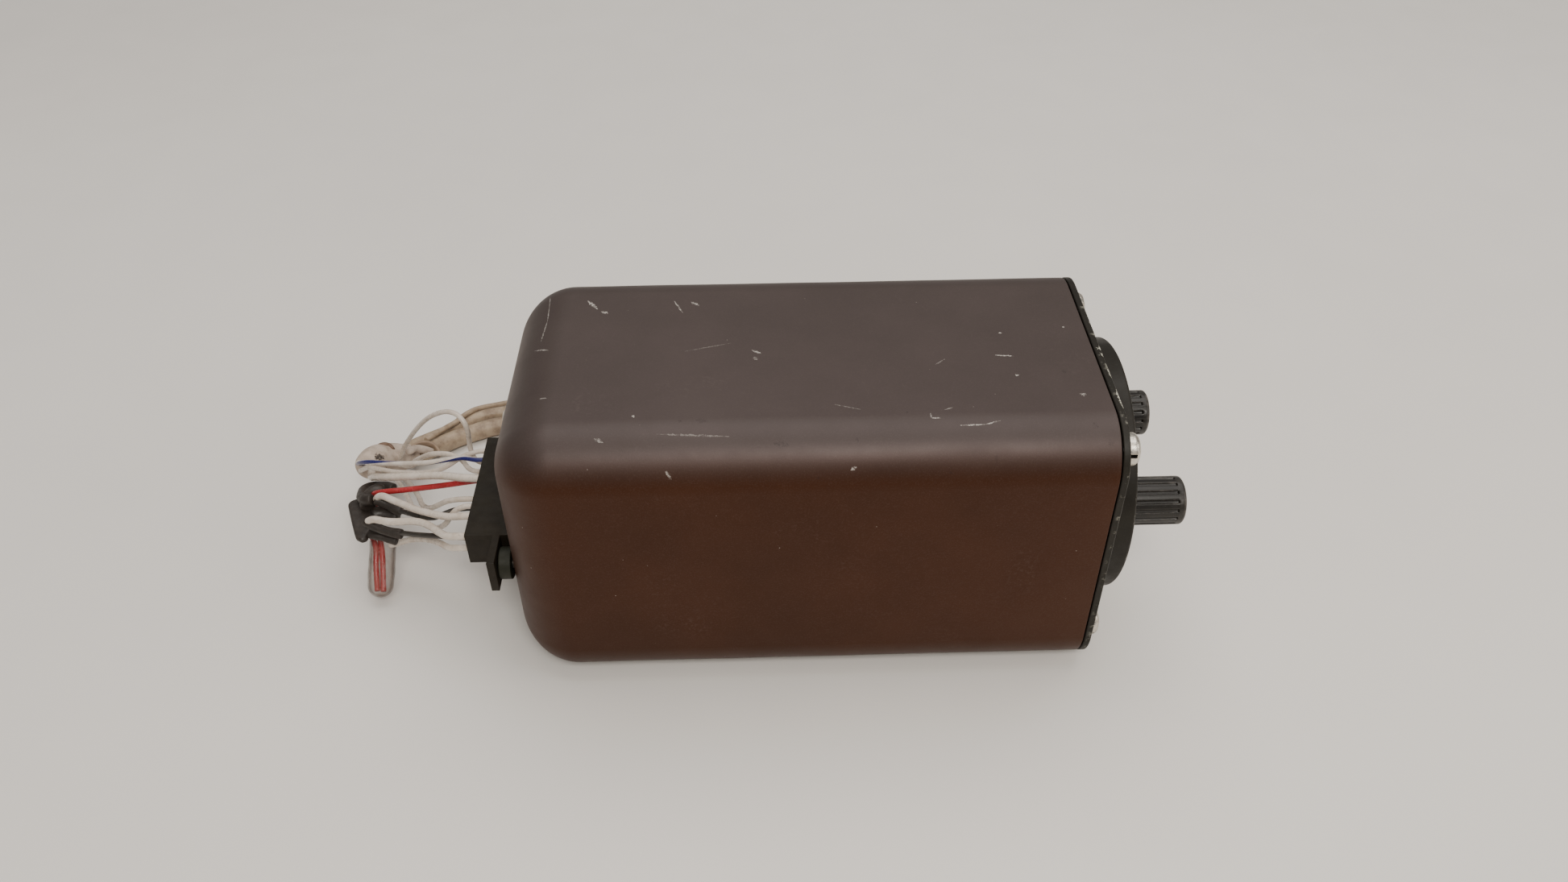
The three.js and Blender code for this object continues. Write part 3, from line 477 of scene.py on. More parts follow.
def circuit_board():
    f = Finish("circuit_board")
    tracks = f.step(f.cells(240, distance="CHEBYCHEV"), 0.30, 0.34)
    weave = f.noise(2600, 2)
    colour = f.mix(f.step(weave, 0.3, 0.7), (0.014, 0.06, 0.022), (0.02, 0.085, 0.03))
    f.set("Base Color", f.mix(f.math("MULTIPLY", tracks, 0.5), colour, (0.05, 0.14, 0.05)))
    f.set("Roughness", f.step(weave, 0.3, 0.7, 0.3, 0.45))
    f.bump(tracks, 0.00005, 0.5)
    return f.material


def floor_finish():
    f = Finish("floor_finish")
    f.set("Base Color", f.mix(f.step(f.noise(3, 4), 0.3, 0.7), (0.70, 0.67, 0.63), (0.73, 0.70, 0.66)))
    f.set("Roughness", f.step(f.noise(40, 4), 0.3, 0.7, 0.55, 0.7))
    f.bump(f.noise(500, 3), 0.00005, 0.4)
    return f.material


finishes = {
    "can": can_paint(),
    "bezel": bezel_paint(),
    "dial": moulded("dial_paint", (0.012, 0.012, 0.012), (0.02, 0.02, 0.019), (0.6, 0.75), 3000),
    "ink": moulded("dial_ink", (0.62, 0.60, 0.52), (0.7, 0.68, 0.6), (0.5, 0.7)),
    "knob": moulded("knob_plastic", (0.0070, 0.0058, 0.0045), (0.0140, 0.0118, 0.0092), (0.28, 0.42), 1500,
                    (0.13, 0.115, 0.10), dust=0.12, shine=0.38),
    "screw": metal("worn_nickel", (0.66, 0.62, 0.55), (0.33, 0.27, 0.2)),
    "dark_screw": metal("black_steel", (0.05, 0.048, 0.045), (0.12, 0.09, 0.07), (0.4, 0.6)),
    "aluminium": metal("mill_aluminium", (0.68, 0.68, 0.7), (0.5, 0.49, 0.48), (0.3, 0.5), (0.05, 1, 1), 0.2),
    "tin": metal("tinned_contact", (0.72, 0.70, 0.66), (0.5, 0.46, 0.4), (0.2, 0.4), spots=0.3),
    "connector": moulded("connector_plastic", (0.010, 0.0070, 0.0035), (0.016, 0.0115, 0.0058),
                         (0.55, 0.7), 1400, (0.10, 0.09, 0.07), 0.00005, 0.08, 0.26),
    "spacer": moulded("spacer_plastic", (0.010, 0.011, 0.006), (0.018, 0.018, 0.010), (0.5, 0.65),
                      dust=0.08, shine=0.26),
    "board": circuit_board(),
    "core": moulded("varnished_core", (0.05, 0.045, 0.04), (0.11, 0.08, 0.05), (0.3, 0.5), 900),
    "relay": moulded("relay_cover", (0.62, 0.58, 0.5), (0.7, 0.67, 0.6), (0.3, 0.5)),
    "capacitor": moulded("capacitor_skin", (0.02, 0.04, 0.13), (0.03, 0.06, 0.18), (0.25, 0.4)),
    "transistor": moulded("transistor_body", (0.02, 0.02, 0.02), (0.04, 0.04, 0.04), (0.5, 0.65)),
    "control": moulded("control_body", (0.02, 0.06, 0.035), (0.035, 0.085, 0.05), (0.4, 0.55)),
    "white": insulation("white_insulation", (0.62, 0.55, 0.48), (0.36, 0.27, 0.19)),
    "striped": insulation(
        "striped_insulation", (0.62, 0.56, 0.50), (0.38, 0.30, 0.23),
        stripe={"twist": 165.0, "phase": -2.3, "edge": 0.42, "colour": (0.012, 0.012, 0.11)},
    ),
    "red": insulation("red_insulation", (0.36, 0.022, 0.026), (0.26, 0.018, 0.014), (0.2, 0.35)),
    "black_wire": insulation("black_insulation", (0.022, 0.018, 0.014), (0.05, 0.04, 0.03), (0.25, 0.4)),
    "sheath": insulation("cable_sheath", (0.38, 0.29, 0.20), (0.19, 0.13, 0.085), (0.45, 0.65), dirt=0.9),
    # Darker copies of the tape's colour for the loose folds at the peak and the curl.
    "peak_tape": moulded("darkest_tape", (0.085, 0.045, 0.028), (0.16, 0.095, 0.06), (0.55, 0.75), 1600),
    "curl_tape": moulded("darker_tape", (0.22, 0.15, 0.10), (0.36, 0.26, 0.18), (0.55, 0.75), 1600),
    "sleeve": shrunk_sleeve(),
    "tape": wrap_tape(),
    "clear": clear_plastic(),
    "floor": floor_finish(),
}


# ---- Mesh code. Shapes are built in the case frame as (vertices, faces) and become pieces at the end.

def joined(shapes):
    vertices, faces = [], []
    for some_vertices, some_faces in shapes:
        start = len(vertices)
        vertices += some_vertices
        faces += [[start + i for i in face] for face in some_faces]
    return vertices, faces


def loft(rings):
    """A skin through rings of the same count of points, closed at both ends."""
    count = len(rings[0])
    vertices = [Vector(p) for ring in rings for p in ring]
    faces = []
    for r in range(len(rings) - 1):
        for i in range(count):
            a, b = r * count + i, r * count + (i + 1) % count
            faces.append([a, b, b + count, a + count])
    last = (len(rings) - 1) * count
    faces.append(list(range(count))[::-1])
    faces.append([last + i for i in range(count)])
    return vertices, faces


def square_ring(x, half, radius, arc=14, flat=8):
    """A rounded square across the case at x: arc steps round each corner, flat steps along each side."""
    inner = half - radius
    centres = [(1, -1), (1, 1), (-1, 1), (-1, -1)]

    def on_corner(quarter, angle):
        y, z = centres[quarter % 4]
        return (x, middle + y * inner + radius * math.cos(angle),
                middle + z * inner + radius * math.sin(angle))

    ring = []
    for quarter in range(4):
        turn = quarter * math.pi / 2
        for i in range(arc + 1):
            ring.append(on_corner(quarter, turn - math.pi / 2 + (i / arc) * math.pi / 2))
        end = ring[-1]
        start = on_corner(quarter + 1, turn)
        for i in range(1, flat):
            ring.append(tuple(Vector(end).lerp(Vector(start), i / flat)))
    return ring


def circle(x, radius, count, centre):
    """A ring round an axis along X."""
    return [(x, centre[0] + radius * math.cos(2 * math.pi * i / count),
             centre[1] + radius * math.sin(2 * math.pi * i / count)) for i in range(count)]


def turned(profile, count=48, centre=(middle, middle)):
    """A body turned about an axis along X, from a list of (x, radius)."""
    return loft([circle(x, radius, count, centre) for x, radius in profile])


def rod(start, end, radius, count, centre=(middle, middle)):
    return turned([(start, radius), (end, radius)], count, centre)


def rounded(profile, radius, steps=4):
    """The profile of (x, radius) with its inner corners rounded off."""
    points = [Vector(p) for p in profile]
    out = [points[0]]
    for before, corner, after in zip(points, points[1:], points[2:]):
        reach = min(radius, (before - corner).length * 0.45, (after - corner).length * 0.45)
        a = corner + (before - corner).normalized() * reach
        b = corner + (after - corner).normalized() * reach
        for i in range(steps + 1):
            t = i / steps
            out.append(a * (1 - t) ** 2 + corner * 2 * t * (1 - t) + b * t ** 2)
    out.append(points[-1])
    return [tuple(p) for p in out]


def block(low, high):
    x0, y0, z0 = low
    x1, y1, z1 = high
    rings = [[(x, y0, z0), (x, y1, z0), (x, y1, z1), (x, y0, z1)] for x in (x0, x1)]
    return loft(rings)


def set_mesh(obj, shape):
    vertices, faces = shape
    obj.data.from_pydata([case_low + v for v in map(Vector, vertices)], [], faces)
    work = bmesh.new()
    work.from_mesh(obj.data)
    bmesh.ops.recalc_face_normals(work, faces=work.faces)
    work.to_mesh(obj.data)
    work.free()


def new_object(name, shape):
    obj = linked(name, bpy.data.meshes.new(name))
    set_mesh(obj, shape)
    return obj


def apply_modifiers(obj):
    graph = bpy.context.evaluated_depsgraph_get()
    made = bpy.data.meshes.new_from_object(obj.evaluated_get(graph))
    obj.modifiers.clear()
    old = obj.data
    obj.data = made
    bpy.data.meshes.remove(old)


def combine(obj, shape, operation):
    """Cuts a shape out of the object, or joins it on."""
    tool = new_object("tool", shape)
    modifier = obj.modifiers.new("combine", "BOOLEAN")
    modifier.operation = operation
    modifier.solver = "EXACT"
    modifier.object = tool
    apply_modifiers(obj)
    mesh = tool.data
    bpy.data.objects.remove(tool)
    bpy.data.meshes.remove(mesh)


def cut(obj, *shapes):
    combine(obj, joined(shapes), "DIFFERENCE")


def soften(obj, width, steps=3, angle=40):
    modifier = obj.modifiers.new("soften", "BEVEL")
    modifier.width = width
    modifier.segments = steps
    modifier.limit_method = "ANGLE"
    modifier.angle_limit = math.radians(angle)
    apply_modifiers(obj)


def store(obj, name, values, kind="FLOAT", field="value"):
    """Keeps values at the vertices, for a material to read."""
    attribute = obj.data.attributes.new(name, kind, "POINT")
    attribute.data.foreach_set(field, values)


def dress(obj, finish, body="instrument", replaces=(), sharp=35):
    """Gives a piece its finish, its shading and its body, and hides the CAD nodes that it stands for."""
    obj.data.materials.clear()
    obj.data.materials.append(finishes[finish])
    obj.data.shade_smooth()
    obj.data.set_sharp_from_angle(angle=math.radians(sharp))
    normals = obj.modifiers.new("normals", "WEIGHTED_NORMAL")
    normals.keep_sharp = True
    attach(obj, body)
    if replaces:
        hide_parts(*replaces)
    return obj


# ---- The can

def can_section(inset, share):
    """One ring of the drawn can: share runs from 0 at the rear wall to 1 where its sides are full."""
    radius = rear_radius - inset
    angle = share * math.pi / 2
    drawn = radius * (1 - math.sin(angle))
    corner = max(edge_radius - inset - drawn * 0.75, 0.001)
    return square_ring(inset + radius * (1 - math.cos(angle)), middle - inset - drawn, corner)


def wavering(ring, depth):
    """The ring with the slight unevenness of drawn sheet."""
    out = []
    for point in ring:
        place = Vector(point)
        outward = Vector((0, place.y - middle, place.z - middle)).normalized()
        out.append(tuple(place + outward * depth * noise.noise(place * 38)))
    return out


def can_shell():
    outer_steps, inner_steps, side_steps = 20, 8, 26
    lip = 0.0004
    unevenness = 0.00009
    slot_half_width, slot_half_height = 0.019, 0.0026
    rings = [can_section(0, i / outer_steps) for i in range(outer_steps + 1)]
    for i in range(1, side_steps):
        x = rear_radius + (can_length - lip - rear_radius) * i / side_steps
        rings.append(wavering(square_ring(x, middle, edge_radius), unevenness))
    rings.append(square_ring(can_length - lip, middle, edge_radius))
    rings.append(square_ring(can_length - lip * 0.3, middle - lip * 0.3, edge_radius - lip * 0.3))
    rings.append(square_ring(can_length, middle - lip, edge_radius - lip))
    rings.append(square_ring(can_length, middle - can_wall, edge_radius - can_wall))
    rings += [can_section(can_wall, i / inner_steps) for i in range(inner_steps + 1)][::-1]
    shell = new_object("can_shell", loft(rings))
    slot = block((-beyond, middle - slot_half_width, board_height - slot_half_height),
                 (can_wall + beyond, middle + slot_half_width, board_height + slot_half_height))
    holes = [rod(-beyond, 0.003, 0.0021, 32, (middle, z)) for z in case_screw_heights]
    ear_bores = [rod(-beyond, 0.003, ear_bore_radius, 24, (y, board_height)) for y in ear_holes]
    cut(shell, slot, *holes, *ear_bores)
    dress(shell, "can", replaces=["case_can"])


# ---- Screws

def slotted_screw(name, profile, centre, slot_x, slot_width, finish, node, turn=0.0):
    """A turned screw with a slot across its head, the slot turned by an angle."""
    screw = new_object(name, turned(profile, 40, centre))
    ends = [x for x, _ in profile]
    outside = slot_x + (0.003 if slot_x > sum(ends) / 2 else -0.003)
    reach = 0.008
    bar = block((min(slot_x, outside), -reach, -slot_width / 2),
                (max(slot_x, outside), reach, slot_width / 2))
    spin = Matrix.Rotation(turn, 4, "X")
    move = Matrix.Translation((0, *centre))
    cut(screw, ([move @ spin @ v for v in bar[0]], bar[1]))
    dress(screw, finish, replaces=[node], sharp=28)


def make_screws():
    back = flange_front + 0.0003
    front = back + 0.004
    head = [(back - 0.012, 0.0019), (back, 0.0019), (back, 0.0042), (front - 0.0014, 0.0042),
            (front - 0.0005, 0.0036), (front, 0.0023)]
    for i, (centre, turn) in enumerate(zip(corners, (0.4, 1.2, 2.3, 2.9)), 1):
        profile = rounded(head, 0.00035)
        slotted_screw(f"flange_screw_{i}", profile, centre, front - 0.0013, 0.0010, "screw",
                      f"corner_screw_{i}", turn)
    rear_head = [(-0.0024, 0.0012), (-0.0024, 0.0022), (-0.0016, 0.0031), (-0.0003, 0.0034),
                 (-0.0003, 0.0017), (0.015, 0.0017)]
    for i, (z, turn) in enumerate(zip(case_screw_heights, (0.8, 1.9)), 1):
        slotted_screw(f"rear_screw_{i}", rounded(rear_head, 0.0003), (middle, z), -0.0017, 0.0007,
                      "screw", f"case_screw_{i}", turn)
    ear = ear_plate[0] + 0.0001
    flush = [(ear, 0.0016), (ear, 0.0026), (ear_plate[1] - 0.0009, 0.00145), (0.007, 0.00145)]
    for end, y, turn in zip(("near", "far"), ear_holes, (0.5, 2.1)):
        slotted_screw(f"ear_screw_{end}", rounded(flush, 0.0001), (y, board_height), ear + 0.0007, 0.0006,
                      "dark_screw", f"connector_screw_{end}", turn)


# ---- The front

def bezel_casting():
    radius = edge_radius - 0.0002
    rim = 0.00035
    stations = [(flange_back, 0.0002), (flange_back + 0.0002, 0), (flange_front - rim, 0),
                (flange_front - rim * 0.6, rim * 0.08), (flange_front - rim * 0.3, rim * 0.3),
                (flange_front - rim * 0.08, rim * 0.6), (flange_front, rim)]
    rings = [square_ring(x, middle - inset, radius - inset) for x, inset in stations]
    casting = new_object("bezel_casting", loft(rings))
    fillet, rounding = 0.0009, 0.0008
    profile = [(flange_back + 0.0005, boss_radius - 0.001),
               (flange_front - 0.0003, boss_radius + fillet + 0.0003)]
    for angle in quarter_turn:
        profile.append((flange_front + fillet * (1 - math.cos(angle)),
                        boss_radius + fillet * (1 - math.sin(angle))))
    for angle in quarter_turn:
        profile.append((boss_front - rounding * (1 - math.sin(angle)),
                        boss_radius - rounding * (1 - math.cos(angle))))
    combine(casting, turned(profile, 128), "UNION")
    back_recess, screw_bore = 0.0315, 0.0023
    bores = [rod(web_back - beyond, web_front + beyond, bushing_radius + clearance, 32, place)
             for place in knob_places.values()]
    bores += [rod(flange_back - beyond, flange_front + beyond, screw_bore, 32,
                  (middle + y * screw_spread, middle + z * screw_spread)) for y in (-1, 1) for z in (-1, 1)]
    cut(casting, rod(flange_back - beyond, web_back, back_recess, 96))
    cut(casting, rod(web_front, boss_front + beyond, dial_radius + clearance, 128))
    cut(casting, *bores)
    soft = 0.0004

    def edge_at(place):
        """Worn along the flange's front edge, away from the boss, and round the boss's front edge."""
        across = max(abs(place.y - middle), abs(place.z - middle))
        reach = math.hypot(place.y - middle, place.z - middle)
        flange = place.x > flange_front - soft and across > middle - soft * 2 and reach > boss_radius + 0.002
        boss = place.x > boss_front - soft and abs(reach - boss_radius) < soft * 1.5
        return 1.0 if flange or boss else 0.0

    store(casting, "edge", [edge_at(v.co - case_low) for v in casting.data.vertices])
    dress(casting, "bezel", replaces=["front_bezel"])


def dial_mark(angle, inner, outer, width, centre):
    """A flat bar of ink on the dial, pointing away from a knob. Zero is straight up."""
    height = 0.00005
    bar = block((dial_front, -width / 2, inner), (dial_front + height, width / 2, outer))
    spin = Matrix.Translation((0, *centre)) @ Matrix.Rotation(-angle, 4, "X")
    return [spin @ v for v in bar[0]], bar[1]


def numeral(text, angle, reach, size, centre):
    """A number printed upright on the dial, at an angle from straight up round a knob."""
    relief = 0.00003
    data = bpy.data.curves.new("numeral", "FONT")
    data.body = text
    data.size = size
    data.align_x = "CENTER"
    data.align_y = "CENTER"
    data.extrude = relief
    letter = linked("numeral", data)
    graph = bpy.context.evaluated_depsgraph_get()
    mesh = bpy.data.meshes.new_from_object(letter.evaluated_get(graph))
    y, z = centre[0] + reach * math.sin(angle), centre[1] + reach * math.cos(angle)
    vertices = [Vector((dial_front + relief + v.co.z, y + v.co.x, z + v.co.y)) for v in mesh.vertices]
    faces = [list(p.vertices) for p in mesh.polygons]
    bpy.data.objects.remove(letter)
    bpy.data.curves.remove(data)
    bpy.data.meshes.remove(mesh)
    return vertices, faces


def dial():
    """The plate behind the knobs, with the temperature's scale over 300 degrees and the fan's four steps."""
    inner = dial_radius - 0.0006
    profile = [(dial_back, inner), (dial_back, dial_radius), (dial_front, dial_radius), (dial_front, inner)]
    plate = new_object("marked_dial", turned(rounded(profile, 0.00015), 128))
    cut(plate, *[rod(dial_back - beyond, dial_front + beyond, bushing_radius + clearance, 40, place)
                 for place in knob_places.values()])
    dress(plate, "dial", replaces=["dial_plate"])
    tick_start, long_end, short_end = 0.0086, 0.0106, 0.0096
    thick, thin = 0.0005, 0.0003
    height = 0.0032
    temperature, fan = knob_places["temperature"], knob_places["fan"]
    temperature_angles = [math.radians(-150 + 15 * i) for i in range(21)]
    ink = []
    for i, angle in enumerate(temperature_angles):
        end, width = (long_end, thick) if i % 5 == 0 else (short_end, thin)
        ink.append(dial_mark(angle, tick_start, end, width, temperature))
    for text, angle in zip(("16", "19", "22", "25", "28"), temperature_angles[::5]):
        ink.append(numeral(text, angle, 0.0131, height, temperature))
    for i in range(4):
        angle = math.radians(30 * i)
        ink.append(dial_mark(angle, tick_start, long_end, thick, fan))
        ink.append(numeral(str(i), angle, 0.0128, height, fan))
    marks = new_object("dial_markings", joined(ink))
    dress(marks, "ink")


def knob_ring(x, groove):
    """One ring of a knob, with its pale edge values, wear and a painted glint together: sixteen wide ribs
    with narrow grooves as deep as groove.
    """
    ribs = 16
    steps = [(-0.36, 0), (-0.24, 0), (-0.12, 0), (0, 0), (0.12, 0), (0.17, 0.12), (0.20, 0.5),
             (0.24, 0.9), (0.32, 1), (0.46, 1), (0.54, 0.9), (0.58, 0.5), (0.61, 0.12)]
    ring, edge = [], []
    for rib in range(ribs):
        for share, depth in steps:
            angle = 2 * math.pi * (rib + share - 0.12) / ribs
            radius = knob_radius - groove * depth
            ring.append((x, radius * math.cos(angle), radius * math.sin(angle)))
            # Rib edges paler: wear and a painted glint.
            edge.append(1.0 if depth == 0.12 else (0.35 if depth == 0.5 else 0.0))
    return ring, edge


def plain_ring(x, radius):
    return [(x, y * radius / knob_radius, z * radius / knob_radius) for _, y, z in knob_ring(x, 0)[0]]


def knob(name):
    """A fluted knob over a recess for the nut, with a smooth end band and a pointer line on its face."""
    depth = 0.00055
    band = knob_tip - 0.0021
    rounding = 0.0009
    # Each ring's place along the knob, how far it is drawn in and how deep its grooves are.
    stations = [(knob_base, 0.0004, depth), (knob_base + 0.0002, 0.0001, depth),
                (knob_base + 0.0005, 0, depth)]
    stations += [(knob_base + (band - 0.0004 - knob_base) * i / 8, 0, depth) for i in range(1, 8)]
    stations += [(band - 0.0004, 0, depth), (band - 0.00015, 0, depth * 0.75), (band, 0, depth * 0.2),
                 (band + 0.0001, 0, 0), (knob_tip - rounding, 0, 0)]
    for angle in quarter_turn[1:]:
        stations.append((knob_tip - rounding * (1 - math.sin(angle)), rounding * (1 - math.cos(angle)), 0))
    rings, edges = [], []
    for x, inset, groove in stations:
        ring, edge = knob_ring(x, groove)
        scale = (knob_radius - inset) / knob_radius
        rings.append([(x, y * scale, z * scale) for x, y, z in ring])
        # The tip's rim and the smooth end band paler too: wear and a painted glint.
        if x >= knob_tip - rounding * 0.75:
            edge = [0.8 if inset < rounding * 0.7 else 0.0] * len(ring)
        elif groove == 0:
            edge = [0.25] * len(ring)
        edges.append(edge)
    dish = [(knob_tip, 0.0054), (knob_tip - 0.00025, 0.0051), (knob_tip - 0.00025, 0.001)]
    for x, radius in dish:
        rings.append(plain_ring(x, radius))
        edges.append([0.0] * len(rings[0]))
    recess_end = dial_front + 0.0034
    recess = [(knob_base, 0.0052), (knob_base + 0.0002, 0.0050), (recess_end, 0.0050), (recess_end, 0.0010)]
    for x, radius in recess:
        rings.insert(0, plain_ring(x, radius))
        edges.insert(0, [0.0] * len(rings[0]))
    y0, z0 = knob_places[name]
    vertices, faces = loft(rings)
    body = new_object(f"{name}_grip", ([v + Vector((0, y0, z0)) for v in vertices], faces))
    store(body, "edge", [value for edge in edges for value in edge])
    dress(body, "knob", name, [f"{name}_knob"], sharp=50)
    half_width = 0.0004
    pointer = block((knob_tip - 0.0003, y0 - half_width, z0 + 0.0012),
                    (knob_tip - 0.00018, y0 + half_width, z0 + 0.0049))
    line = new_object(f"{name}_pointer", pointer)
    soften(line, 0.00005, 2)
    dress(line, "ink", name)


# ---- The edge connector

def at_contacts(start, end, half_width, half_height):
    """A block in each of the connector's twenty pockets."""
    return [block((start, y - half_width, z - half_height), (end, y + half_width, z + half_height))
            for y in contact_places for z in (upper_row, lower_row)]


def connector():
    low, high = connector_low, connector_high
    moulding = block((low.x, connector_body[0], low.z), (high.x, connector_body[1], high.z))
    body = new_object("connector_moulding", moulding)
    combine(body, block((ear_plate[0], low.y, low.z), (ear_plate[1], high.y, high.z)), "UNION")
    soften(body, 0.00025)
    tongue_end, tongue_half_width, tongue_half_height = -0.011, 0.0181, 0.0011
    tongue = block((tongue_end, middle - tongue_half_width, board_height - tongue_half_height),
                   (high.x + beyond, middle + tongue_half_width, board_height + tongue_half_height))
    sink = [(ear_plate[0] - beyond, 0.0036), (ear_plate[1] + beyond, 0.00165)]
    cut(body, tongue, *[turned(sink, 32, (y, board_height)) for y in ear_holes])
    cut(body, *at_contacts(low.x - beyond, low.x + 0.0022, 0.0013, 0.0013))
    dress(body, "connector", replaces=["connector_housing"])
    tails = new_object("connector_contacts",
                       joined(at_contacts(low.x + 0.0005, low.x + 0.0021, 0.0008, 0.0002)))
    dress(tails, "tin")
    start, stop, radius, flat = ear_plate[1] + clearance, -clearance, 0.0044, 0.0036
    profile = [(start, flat), (start, radius), (stop, radius), (stop, flat)]
    for end, y in zip(("near", "far"), ear_holes):
        spacer = new_object(f"ear_spacer_{end}", turned(rounded(profile, 0.0005), 48, (y, board_height)))
        cut(spacer, rod(-0.005, beyond, ear_bore_radius, 24, (y, board_height)))
        dress(spacer, "spacer", replaces=[f"connector_spacer_{end}"])


# ---- The harness: routes that the CAD follows too

def contact(number, height):
    """A wire starts inside its pocket in the connector and leaves it straight back."""
    y = contact_places[number]
    rear = connector_low.x
    return [(rear + 0.0018, y, height), (rear - 0.0003, y, height), (rear - 0.0023, y, height)]


